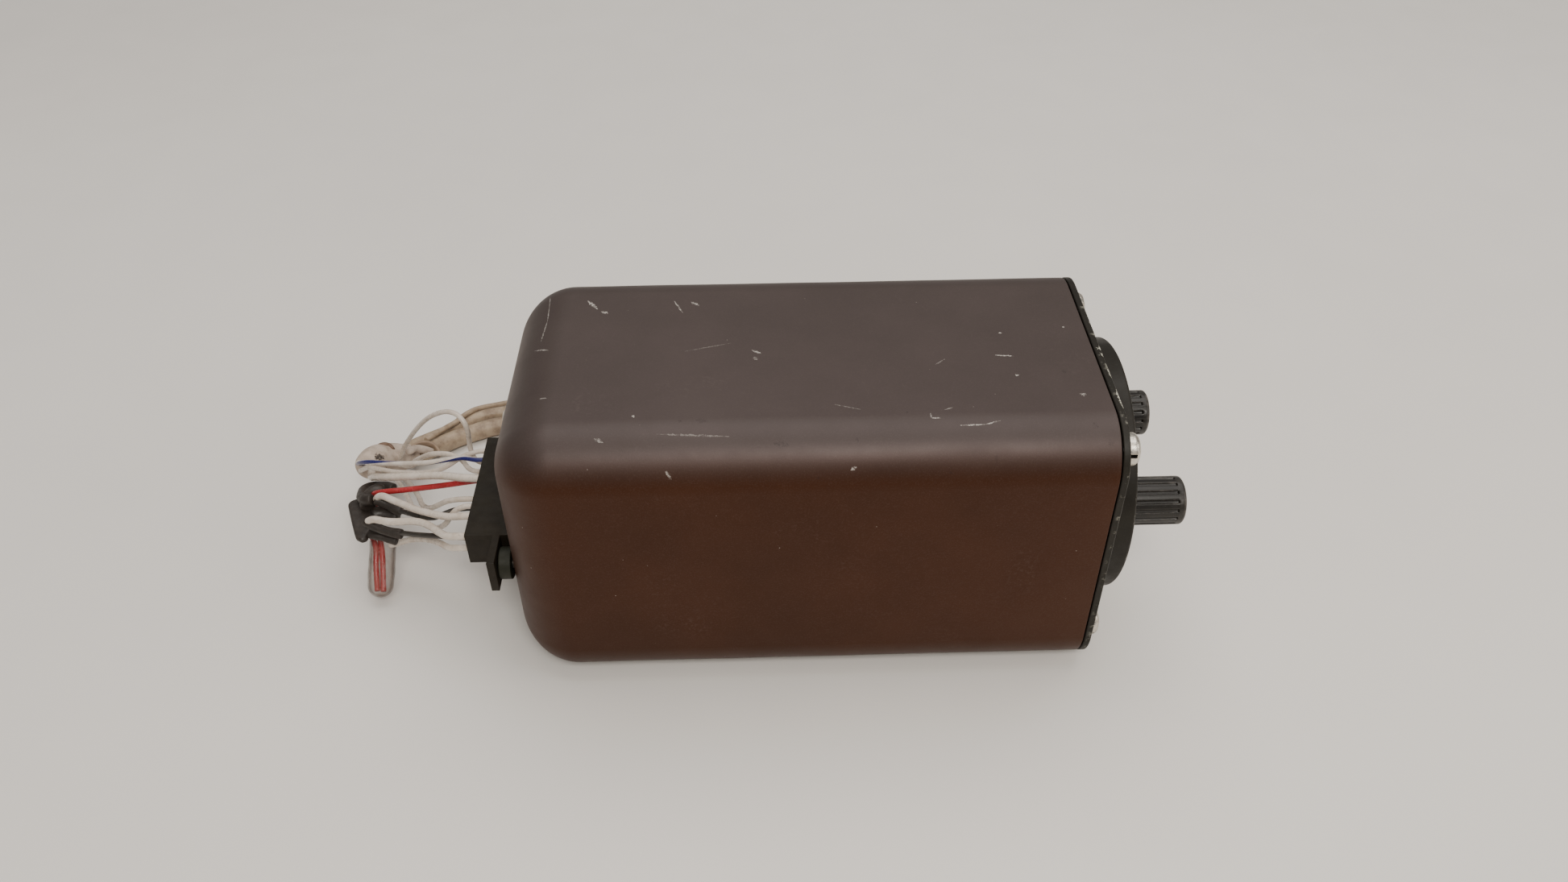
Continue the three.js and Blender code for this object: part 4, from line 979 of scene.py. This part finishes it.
# Each wire's diameter, finish and route.
wires = {
    "blue_stripe": (0.0015, "striped", contact(8, upper_row) + [
        (-0.0205, 0.0560, 0.0350), (-0.0250, 0.0560, 0.0345), (-0.0310, 0.0560, 0.0335),
        (-0.0375, 0.0575, 0.0320), (-0.0445, 0.0595, 0.0305), (-0.0505, 0.0625, 0.0285),
        (-0.0550, 0.0660, 0.0255), (-0.0572, 0.0702, 0.0215), (-0.0566, 0.0732, 0.0190)]),
    "white_1": (0.0015, "white", contact(9, upper_row) + [
        (-0.0198, 0.0582, 0.0343), (-0.0226, 0.0579, 0.0329), (-0.0253, 0.0571, 0.0314),
        (-0.0284, 0.0567, 0.0300), (-0.0328, 0.0568, 0.0289), (-0.0374, 0.0578, 0.0281),
        (-0.0427, 0.0593, 0.0272), (-0.0486, 0.0626, 0.0256), (-0.0532, 0.0663, 0.0231),
        (-0.0568, 0.0690, 0.0196), (-0.0562, 0.0725, 0.0180)]),
    "white_arch": (0.0015, "white", contact(8, lower_row) + [
        (-0.0182, 0.0554, 0.0305), (-0.0200, 0.0570, 0.0304), (-0.0214, 0.0592, 0.0303),
        (-0.0232, 0.0612, 0.0304), (-0.0256, 0.0624, 0.0308), (-0.0282, 0.0629, 0.0310),
        (-0.0306, 0.0634, 0.0306), (-0.0330, 0.0643, 0.0295), (-0.0358, 0.0658, 0.0272),
        (-0.0388, 0.0680, 0.0240), (-0.0416, 0.0708, 0.0200), (-0.0440, 0.0736, 0.0172),
        (-0.0476, 0.0766, 0.0152)]),
    "white_loop": (0.0015, "white", contact(9, lower_row) + [
        (-0.0178, 0.0594, 0.0312), (-0.0189, 0.0604, 0.0331), (-0.0191, 0.0609, 0.0360),
        (-0.0187, 0.0600, 0.0394), (-0.0182, 0.0588, 0.0426), (-0.0187, 0.0591, 0.0455),
        (-0.0208, 0.0609, 0.0473), (-0.0237, 0.0627, 0.0471), (-0.0272, 0.0649, 0.0450),
        (-0.0314, 0.0680, 0.0410), (-0.0354, 0.0712, 0.0360), (-0.0392, 0.0741, 0.0305),
        (-0.0426, 0.0769, 0.0250), (-0.0454, 0.0794, 0.0200), (-0.0476, 0.0806, 0.0156),
        (-0.0496, 0.0816, 0.0130)]),
    "white_2": (0.0023, "white", contact(6, upper_row) + [
        (-0.0200, 0.0478, 0.0346), (-0.0240, 0.0499, 0.0334), (-0.0284, 0.0519, 0.0320),
        (-0.0336, 0.0535, 0.0305), (-0.0398, 0.0552, 0.0288), (-0.0456, 0.0580, 0.0264),
        (-0.0502, 0.0618, 0.0232), (-0.0532, 0.0670, 0.0188), (-0.0544, 0.0716, 0.0174)]),
    "red": (0.0017, "red", contact(7, lower_row) + [
        (-0.0201, 0.0508, 0.0300), (-0.0245, 0.0509, 0.0292), (-0.0290, 0.0511, 0.0284),
        (-0.0340, 0.0512, 0.0277), (-0.0388, 0.0511, 0.0272), (-0.0432, 0.0511, 0.0268),
        (-0.0466, 0.0519, 0.0256), (-0.0487, 0.0534, 0.0233), (-0.0495, 0.0544, 0.0206),
        (-0.0493, 0.0540, 0.0180), (-0.0488, 0.0520, 0.0159), (-0.0480, 0.0488, 0.0145),
        (-0.0470, 0.0454, 0.0133), (-0.0460, 0.0420, 0.0119), (-0.0454, 0.0380, 0.0090),
        (-0.0450, 0.0335, 0.0056), (-0.0448, 0.0318, 0.0045)]),
    "red_tail": (0.0017, "red", [
        (-0.0546, 0.0585, 0.0152), (-0.0528, 0.0525, 0.0153), (-0.0511, 0.0485, 0.0152),
        (-0.0490, 0.0450, 0.0138), (-0.0477, 0.0422, 0.0123), (-0.0474, 0.0380, 0.0090),
        (-0.0469, 0.0340, 0.0059), (-0.0466, 0.0320, 0.0046)]),
    "white_3": (0.0021, "white", contact(2, upper_row) + [
        (-0.0204, 0.0317, 0.0344), (-0.0246, 0.0342, 0.0329), (-0.0282, 0.0366, 0.0317),
        (-0.0320, 0.0391, 0.0307), (-0.0356, 0.0417, 0.0300), (-0.0394, 0.0443, 0.0294),
        (-0.0430, 0.0469, 0.0288), (-0.0449, 0.0480, 0.0276), (-0.0461, 0.0486, 0.0260)]),
    "white_4": (0.0021, "white", contact(0, upper_row) + [
        (-0.0194, 0.0242, 0.0342), (-0.0226, 0.0273, 0.0328), (-0.0260, 0.0313, 0.0313),
        (-0.0298, 0.0344, 0.0300), (-0.0336, 0.0357, 0.0292), (-0.0374, 0.0361, 0.0287),
        (-0.0406, 0.0367, 0.0285), (-0.0435, 0.0376, 0.0284), (-0.0455, 0.0386, 0.0271),
        (-0.0466, 0.0394, 0.0256)]),
    "white_5": (0.0016, "white", contact(5, lower_row) + [
        (-0.0206, 0.0437, 0.0298), (-0.0243, 0.0451, 0.0279), (-0.0273, 0.0469, 0.0251),
        (-0.0303, 0.0491, 0.0219), (-0.0333, 0.0523, 0.0188), (-0.0360, 0.0565, 0.0162),
        (-0.0381, 0.0611, 0.0141), (-0.0402, 0.0655, 0.0128), (-0.0423, 0.0690, 0.0122),
        (-0.0444, 0.0718, 0.0120), (-0.0464, 0.0740, 0.0120), (-0.0490, 0.0764, 0.0124)]),
    "white_6": (0.0016, "white", contact(3, upper_row) + [
        (-0.0187, 0.0349, 0.0340), (-0.0208, 0.0349, 0.0317), (-0.0226, 0.0356, 0.0286),
        (-0.0249, 0.0372, 0.0254), (-0.0279, 0.0401, 0.0222), (-0.0314, 0.0441, 0.0195),
        (-0.0348, 0.0488, 0.0174), (-0.0378, 0.0537, 0.0157), (-0.0404, 0.0589, 0.0143),
        (-0.0430, 0.0642, 0.0132), (-0.0456, 0.0689, 0.0124), (-0.0478, 0.0724, 0.0120),
        (-0.0497, 0.0749, 0.0120), (-0.0516, 0.0772, 0.0130)]),
    "white_7": (0.0018, "white", contact(0, lower_row) + [
        (-0.0196, 0.0244, 0.0295), (-0.0232, 0.0282, 0.0275), (-0.0272, 0.0327, 0.0244),
        (-0.0314, 0.0360, 0.0218), (-0.0350, 0.0382, 0.0194), (-0.0382, 0.0395, 0.0174),
        (-0.0406, 0.0401, 0.0160), (-0.0426, 0.0406, 0.0150)]),
    "black_1": (0.0015, "black_wire", contact(4, lower_row) + [
        (-0.0195, 0.0387, 0.0306), (-0.0216, 0.0385, 0.0302), (-0.0239, 0.0378, 0.0296),
        (-0.0263, 0.0376, 0.0286), (-0.0290, 0.0386, 0.0276), (-0.0320, 0.0404, 0.0268),
        (-0.0348, 0.0421, 0.0261), (-0.0369, 0.0436, 0.0254), (-0.0392, 0.0453, 0.0246),
        (-0.0415, 0.0466, 0.0247)]),
    "black_2": (0.0015, "black_wire", contact(1, lower_row) + [
        (-0.0202, 0.0281, 0.0301), (-0.0248, 0.0297, 0.0290), (-0.0284, 0.0311, 0.0280),
        (-0.0316, 0.0327, 0.0268), (-0.0344, 0.0344, 0.0256), (-0.0374, 0.0362, 0.0242),
        (-0.0405, 0.0369, 0.0243)]),
}
# Each black sleeve's diameter, the CAD nodes that it stands for and its route.
sleeves = {
    "splice_hook": (0.0034, ["splice_sleeve_hook"], [
        (-0.0452, 0.0617, 0.0183), (-0.0488, 0.0630, 0.0181), (-0.0518, 0.0626, 0.0185),
        (-0.0531, 0.0600, 0.0200), (-0.0526, 0.0556, 0.0222), (-0.0510, 0.0512, 0.0243),
        (-0.0490, 0.0488, 0.0256), (-0.0470, 0.0484, 0.0262)]),
    "splice_core": (0.0046, [], [
        (-0.0462, 0.0560, 0.0222), (-0.0482, 0.0556, 0.0228), (-0.0497, 0.0536, 0.0232),
        (-0.0498, 0.0508, 0.0236), (-0.0488, 0.0482, 0.0236)]),
    "splice_middle": (0.0032, ["splice_sleeve_middle"], [
        (-0.0464, 0.0483, 0.0262), (-0.0443, 0.0480, 0.0256), (-0.0419, 0.0469, 0.0249),
        (-0.0399, 0.0459, 0.0244), (-0.0383, 0.0454, 0.0240)]),
    "splice_lower": (0.0030, ["splice_sleeve_lower"], [
        (-0.0473, 0.0396, 0.0258), (-0.0453, 0.0386, 0.0254), (-0.0424, 0.0374, 0.0247),
        (-0.0394, 0.0366, 0.0241), (-0.0361, 0.0360, 0.0238)]),
    # An extra black sleeve with no CAD node, filling a dark mass under the splice: partly sleeve and partly a
    # stand-in for the splice's shadow.
    "splice_under": (0.0048, [], [
        (-0.0480, 0.0474, 0.0208), (-0.0462, 0.0480, 0.0208), (-0.0436, 0.0476, 0.0204),
        (-0.0404, 0.0470, 0.0198)]),
    # An extra black sleeve with no CAD node, under the lower sleeve: partly sleeve and partly a stand-in for
    # that sleeve's shadow.
    "splice_tail": (0.0026, [], [
        (-0.0468, 0.0388, 0.0214), (-0.0446, 0.0380, 0.0215), (-0.0424, 0.0374, 0.0213),
        (-0.0400, 0.0368, 0.0209), (-0.0384, 0.0364, 0.0206)]),
}
wrap_route = [(-0.0558, 0.0720, 0.0180), (-0.0550, 0.0775, 0.0160), (-0.0530, 0.0830, 0.0125),
              (-0.0498, 0.0870, 0.0094), (-0.0464, 0.0898, 0.0072)]
# Loose folds of the tape on the bulb: each one's width, finish and route.
tape_folds = {
    "fold_peak": (0.0036, "peak_tape", [
        (-0.0556, 0.0806, 0.0180), (-0.0540, 0.0830, 0.0178), (-0.0518, 0.0836, 0.0170),
        (-0.0500, 0.0822, 0.0168)]),
    "fold_bead": (0.0024, "tape", [
        (-0.0464, 0.0822, 0.0148), (-0.0450, 0.0832, 0.0154), (-0.0437, 0.0844, 0.0150)]),
    "fold_curl": (0.0030, "curl_tape", [
        (-0.0466, 0.0886, 0.0126), (-0.0440, 0.0916, 0.0112), (-0.0412, 0.0922, 0.0100),
        (-0.0392, 0.0908, 0.0092), (-0.0380, 0.0886, 0.0080)]),
    "fold_twist": (0.0026, "tape", [
        (-0.0476, 0.0852, 0.0142), (-0.0452, 0.0870, 0.0128), (-0.0424, 0.0884, 0.0112),
        (-0.0402, 0.0896, 0.0096)]),
}
cable_line = 0.1104
turn_radius = 0.030
turn_centre = (0.092, cable_line + turn_radius)


def cable_route(start, inward, height):
    """Along the surface behind the can, once round the fold, and back."""
    along = [(x, cable_line + inward, height) for x in (-0.008, 0.012, 0.036, 0.064)]
    reach = turn_radius - inward
    bend = []
    for i in range(7):
        angle = -math.pi / 2 + i * math.pi / 6
        bend.append((turn_centre[0] + reach * math.cos(angle), turn_centre[1] + reach * math.sin(angle),
                     height))
    back = [(x, cable_line + 2 * turn_radius - inward, height) for x in (0.076, 0.060)]
    return start + along + bend + back


cables = {
    "cable_thick": (0.0060, cable_route([
        (-0.0457, 0.0906, 0.0069), (-0.0426, 0.0952, 0.0055), (-0.0392, 0.0996, 0.0043),
        (-0.0352, 0.1034, 0.0035), (-0.0302, 0.1066, 0.0031), (-0.0246, 0.1090, 0.0031),
        (-0.0180, 0.1102, 0.0031)], 0.0000, 0.0031)),
    "cable_medium": (0.0038, cable_route([
        (-0.0502, 0.0900, 0.0086), (-0.0494, 0.0942, 0.0072),
        (-0.0480, 0.0972, 0.0064), (-0.0452, 0.1010, 0.0052), (-0.0427, 0.1042, 0.0042),
        (-0.0404, 0.1072, 0.0033), (-0.0382, 0.1100, 0.0026), (-0.0355, 0.1130, 0.0021),
        (-0.0326, 0.1153, 0.0020), (-0.0290, 0.1171, 0.0020), (-0.0248, 0.1183, 0.0020),
        (-0.0185, 0.1190, 0.0020)], 0.0086, 0.0020)),
    "cable_thin": (0.0018, cable_route([
        (-0.0437, 0.0950, 0.0098), (-0.0422, 0.0978, 0.0090), (-0.0407, 0.1017, 0.0078),
        (-0.0389, 0.1056, 0.0066), (-0.0370, 0.1095, 0.0054), (-0.0352, 0.1129, 0.0052),
        (-0.0327, 0.1166, 0.0046), (-0.0298, 0.1202, 0.0031), (-0.0264, 0.1232, 0.0016),
        (-0.0220, 0.1252, 0.0010), (-0.0160, 0.1258, 0.0010)], 0.0154, 0.0010)),
}


def smooth_route(points, step=0.0008):
    """Closely spaced places along the smooth curve through the points, as the CAD's curves run."""
    knots = [Vector(p) for p in points]
    knots = [2 * knots[0] - knots[1], *knots, 2 * knots[-1] - knots[-2]]
    route = []
    for before, start, end, after in zip(knots, knots[1:], knots[2:], knots[3:]):
        gaps = [math.sqrt((b - a).length) for a, b in ((before, start), (start, end), (end, after))]
        first, second, third = gaps
        across = (end - start) / second
        leave = ((start - before) / first - (end - before) / (first + second) + across) * second
        arrive = (across - (after - start) / (second + third) + (after - end) / third) * second
        count = max(2, round((end - start).length / step))
        for i in range(count):
            t = i / count
            bend = leave * t + (-3 * start + 3 * end - 2 * leave - arrive) * t * t
            route.append(start + bend + (2 * start - 2 * end + leave + arrive) * t ** 3)
    route.append(knots[-2])
    return route


def length_of(route):
    return sum((b - a).length for a, b in zip(route, route[1:]))


def frames_along(route):
    """At each place on a route, the direction and two directions across it that don't twist."""
    last = len(route) - 1
    directions = [(route[min(i + 1, last)] - route[max(i - 1, 0)]).normalized() for i in range(last + 1)]
    across = directions[0].orthogonal().normalized()
    found = []
    for direction in directions:
        across = (across - direction * across.dot(direction)).normalized()
        found.append((direction, across, direction.cross(across)))
    return found


def unevenness(length, angle, scale, spread=1.0, shift=0.0):
    """Smooth noise over a tube's skin, from about -1 to 1."""
    return noise.noise(Vector((length * scale + shift, math.cos(angle) * spread, math.sin(angle) * spread)))


def tube(name, route, radius_at, sides=16, section=(1, 1), end_rounding=0.3):
    """A solid tube along a route. radius_at gives its radius from the length so far and the angle."""
    total = length_of(route)
    reach = radius_at(0.0, 0.0) * end_rounding
    so_far = 0.0
    stations = []
    for i, (place, frame_here) in enumerate(zip(route, frames_along(route))):
        if i:
            so_far += (place - route[i - 1]).length
        stations.append((place, frame_here, so_far, 1.0))
    caps = [(0.0, 0.62), (0.25, 0.86), (0.6, 0.97)]
    first, last = stations[0], stations[-1]
    body = [s for s in stations if reach < s[2] < total - reach]
    head = [(first[0] + first[1][0] * reach * along, first[1], reach * along, scale) for along, scale in caps]
    tail = [(last[0] - last[1][0] * reach * along, last[1], total - reach * along, scale)
            for along, scale in caps]
    rings, marks = [], []
    for place, (_, across, up), length, scale in head + body + tail[::-1]:
        ring = []
        for k in range(sides):
            angle = 2 * math.pi * k / sides
            y, z = math.cos(angle), math.sin(angle)
            radius = radius_at(length, angle) * scale
            ring.append(place + across * radius * section[0] * y + up * radius * section[1] * z)
            marks += [y, z, length]
        rings.append(ring)
    obj = new_object(name, loft(rings))
    store(obj, "tube", marks, "FLOAT_VECTOR", "vector")
    return obj


def make_wires():
    for seed, (name, (diameter, finish, points)) in enumerate(wires.items()):
        route = smooth_route(points)
        shift = seed * 3.7

        def radius_at(length, angle, half=diameter / 2, shift=shift):
            return half * (1 + 0.025 * unevenness(length, angle, 300, shift=shift))

        wire = tube(f"wire_{name}_insulation", route, radius_at)
        dress(wire, finish, replaces=[f"wire_{name}"], sharp=60)


def make_sleeves():
    for name, (diameter, nodes, points) in sleeves.items():
        route = smooth_route(points, 0.0005)
        total = length_of(route)

        def radius_at(length, angle, half=diameter / 2, total=total):
            waist = 1 - 0.12 * math.sin(math.pi * min(1, length / total)) ** 2
            return half * waist * (1 + 0.07 * unevenness(length, angle, 420, 1.6))

        sleeve = tube(f"{name}_sleeve", route, radius_at, 20)
        dress(sleeve, "sleeve", replaces=nodes, sharp=60)


def harness_wrap():
    """Lacing tape wound round the turned-back wires, thickest in the middle, with its loose folds."""
    route = smooth_route(wrap_route, 0.00035)
    total = length_of(route)
    turn_length, wrap_radius = 0.0042, 0.0044

    def profile(length, angle):
        """How thick the wrap is, how its turns and lumps add to that, and the place across a turn."""
        share = length / total
        bulge = 0.80 + 0.34 * math.sin(math.pi * min(1, 0.18 + share * 0.8))
        phase = (length / turn_length + angle / (2 * math.pi)) % 1
        overlap = 0.016 * (phase if phase < 0.88 else (1 - phase) * 7.3)
        lump = 0.06 * unevenness(length, angle, 150, 1.2)
        return bulge, overlap + lump, phase

    def radius_at(length, angle):
        bulge, detail, _ = profile(length, angle)
        return wrap_radius * (bulge + detail)

    wrap = tube("harness_tape", route, radius_at, 48, end_rounding=0.4)
    # The fold values mark where each turn laps over the next, for painted shade in that crease.
    values = []
    for item in wrap.data.attributes["tube"].data:
        x, y, length = item.vector
        phase = profile(length, math.atan2(y, x) % (2 * math.pi))[2]
        values.append(max(0.0, (phase - 0.9) / 0.1) * 0.45 if phase > 0.9 else 0.0)
    store(wrap, "fold", values)
    dress(wrap, "tape", replaces=["harness_wrap"], sharp=70)
    for name, (width, finish, points) in tape_folds.items():
        fold_route = smooth_route(points, 0.0004)
        fold_length = length_of(fold_route)

        def fold_radius(length, angle, half=width / 2, fold_length=fold_length):
            taper = 0.45 + 0.55 * math.sin(math.pi * min(1, max(0, length / fold_length)))
            return half * taper * (1 + 0.08 * unevenness(length, angle, 500))

        fold = tube(name, fold_route, fold_radius, 20, section=(1, 0.55))
        dress(fold, finish, sharp=70)
    return wrap


def splice_tab():
    """The flattened end of a shrunk sleeve, rounded at its tip."""
    outline = [(-0.0562, 0.0516), (-0.0557, 0.0532), (-0.0536, 0.0544), (-0.0505, 0.0540), (-0.0474, 0.0506),
               (-0.0461, 0.0450), (-0.0463, 0.0416), (-0.0470, 0.0393), (-0.0470, 0.0370), (-0.0485, 0.0360),
               (-0.0504, 0.0372), (-0.0524, 0.0418)]
    rings = [[(x, y, z) for x, y in outline] for z in (0.0200, 0.0219)]
    tab = new_object("splice_tab_sleeve", loft(rings))
    soften(tab, 0.0008, 4, 30)
    modifier = tab.modifiers.new("finer", "SUBSURF")
    modifier.levels = 2
    modifier.render_levels = 2
    apply_modifiers(tab)
    for vertex in tab.data.vertices:
        vertex.co.z += 0.00022 * noise.noise(vertex.co * 260)
    dress(tab, "sleeve", replaces=["splice_tab"], sharp=70)


def clear_sleeve():
    """A lay-flat sleeve over the ends of the red wires: a thin flattened skin with a round closed end."""
    half, length, rise, thickness, start = 0.0039, 0.018, 0.0022, 0.0004, 0.0012
    slope = math.radians(36)
    spin = Matrix.Translation((-0.0457, 0.0295, 0.0029)) @ Matrix.Rotation(slope, 4, "X")
    count = 40

    def skin(inset):
        rings = []
        end_steps, straight_steps = 14, 12
        for i in range(end_steps):
            angle = (i + 0.35) / end_steps * math.pi / 2
            width = (half - inset) * math.sin(angle)
            y = start + half - (half - inset) * math.cos(angle)
            depth = (rise - inset) * min(1, 0.25 + 0.75 * math.sin(angle))
            rings.append((y, width, depth))
        straight = length - start - half
        for i in range(1, straight_steps + 1):
            rings.append((start + half + straight * i / straight_steps, half - inset, rise - inset))
        out = []
        for y, width, depth in rings:
            ring = []
            for k in range(count):
                a = 2 * math.pi * k / count
                flat = abs(math.cos(a)) ** 0.8 * math.copysign(1, math.cos(a))
                wave = 1 + 0.06 * noise.noise(Vector((y * 300, math.cos(a), math.sin(a))))
                ring.append(spin @ Vector((width * flat * wave, y, depth * math.sin(a) * wave)))
            out.append(ring)
        return out

    outer = skin(0)
    inner = skin(thickness)
    shell = new_object("clear_sleeve_skin", loft(outer + inner[::-1]))
    # Rim values for painted shade along the flat sleeve's folded sides and round its closed end.
    rim = [abs(math.cos(2 * math.pi * k / count)) ** 3 for k in range(count)]
    edges = [[max(value, 1 - row / 9) for value in rim] for row in range(len(outer))]
    store(shell, "edge", [value for row in edges + edges[::-1] for value in row])
    dress(shell, "clear", replaces=["clear_sleeve"], sharp=60)


# The cores in each cable's cut end: their thickness and the finish of each.
cable_cores = {
    "cable_thick": (0.0017, ["white", "red", "black_wire"]),
    "cable_medium": (0.0014, ["white", "red"]),
    "cable_thin": (0.0010, ["white"]),
}


def cut_end(name, route):
    """Cores that stand a little way out of a cable's cut end, each with a stripped and tinned tip."""
    end = route[-1]
    heading = (end - route[-2]).normalized()
    thickness, cores = cable_cores[name]
    pieces = []
    for i, finish in enumerate(cores):
        aside = Vector((0, (i - (len(cores) - 1) / 2) * thickness * 1.05, 0))
        rest = Vector((0, 0, thickness / 2 + 0.0002 - end.z))
        places = [end - heading * 0.002 + aside, end + heading * 0.001 + aside,
                  end + heading * 0.005 + aside * 1.4 + rest * 0.7, end + heading * 0.009 + aside * 2 + rest]
        core_route = smooth_route(places, 0.0006)
        core = tube(f"{name}_core_{i + 1}", core_route, lambda length, angle: thickness / 2)
        dress(core, finish, sharp=60)
        onward = (core_route[-1] - core_route[-2]).normalized()
        onward.z = 0
        tip = [core_route[-1] - onward * 0.001, core_route[-1] + onward * 0.004]
        strand = tube(f"{name}_strand_{i + 1}", smooth_route(tip), lambda length, angle: thickness * 0.28)
        dress(strand, "tin", sharp=60)
        pieces += [core, strand]
    return pieces


def make_cables(wrap):
    for name, (diameter, points) in cables.items():
        route = smooth_route(points, 0.0012)

        def radius_at(length, angle, half=diameter / 2):
            twist = 0.02 * math.sin(3 * angle + length * 130) if half > 0.001 else 0
            return half * (1 + twist + 0.02 * unevenness(length, angle, 160))

        cable = tube(f"{name}_sheath", route, radius_at, 20)
        dress(cable, "sheath", replaces=[name], sharp=60)
        pieces = cut_end(name, route) + ([wrap] if name == "cable_thick" else [])


# ---- The pieces that the case hides keep their CAD shapes

hidden_finishes = {
    "aluminium": ["chassis_post_1", "chassis_post_2", "chassis_post_3", "chassis_post_4", "rear_plate",
                  "board_rail_near", "board_rail_far", "heat_sink"],
    "board": ["main_board"],
    "core": ["transformer"],
    "relay": ["fan_relay"],
    "capacitor": ["filter_capacitor"],
    "transistor": ["power_transistor"],
    "control": ["temperature_potentiometer", "fan_switch"],
    "screw": ["temperature_nut", "fan_nut", "temperature_set_screw", "temperature_shaft", "fan_set_screw",
              "fan_shaft"],
}


def dress_hidden():
    for finish, names in hidden_finishes.items():
        for name in names:
            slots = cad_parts[name].data.materials
            slots.clear()
            slots.append(finishes[finish])


def make_floor():
    rings = [[(-1.6, -1.4, z), (1.8, -1.4, z), (1.8, 2.2, z), (-1.6, 2.2, z)] for z in (-0.01, -0.0001)]
    floor = new_object("floor", loft(rings))
    floor.data.materials.append(finishes["floor"])


make_camera()
make_wires()
wrap = harness_wrap()
make_cables(wrap)
make_sleeves()
splice_tab()
clear_sleeve()
can_shell()
bezel_casting()
dial()
knob("temperature")
knob("fan")
make_screws()
connector()
dress_hidden()
make_floor()
make_lights()
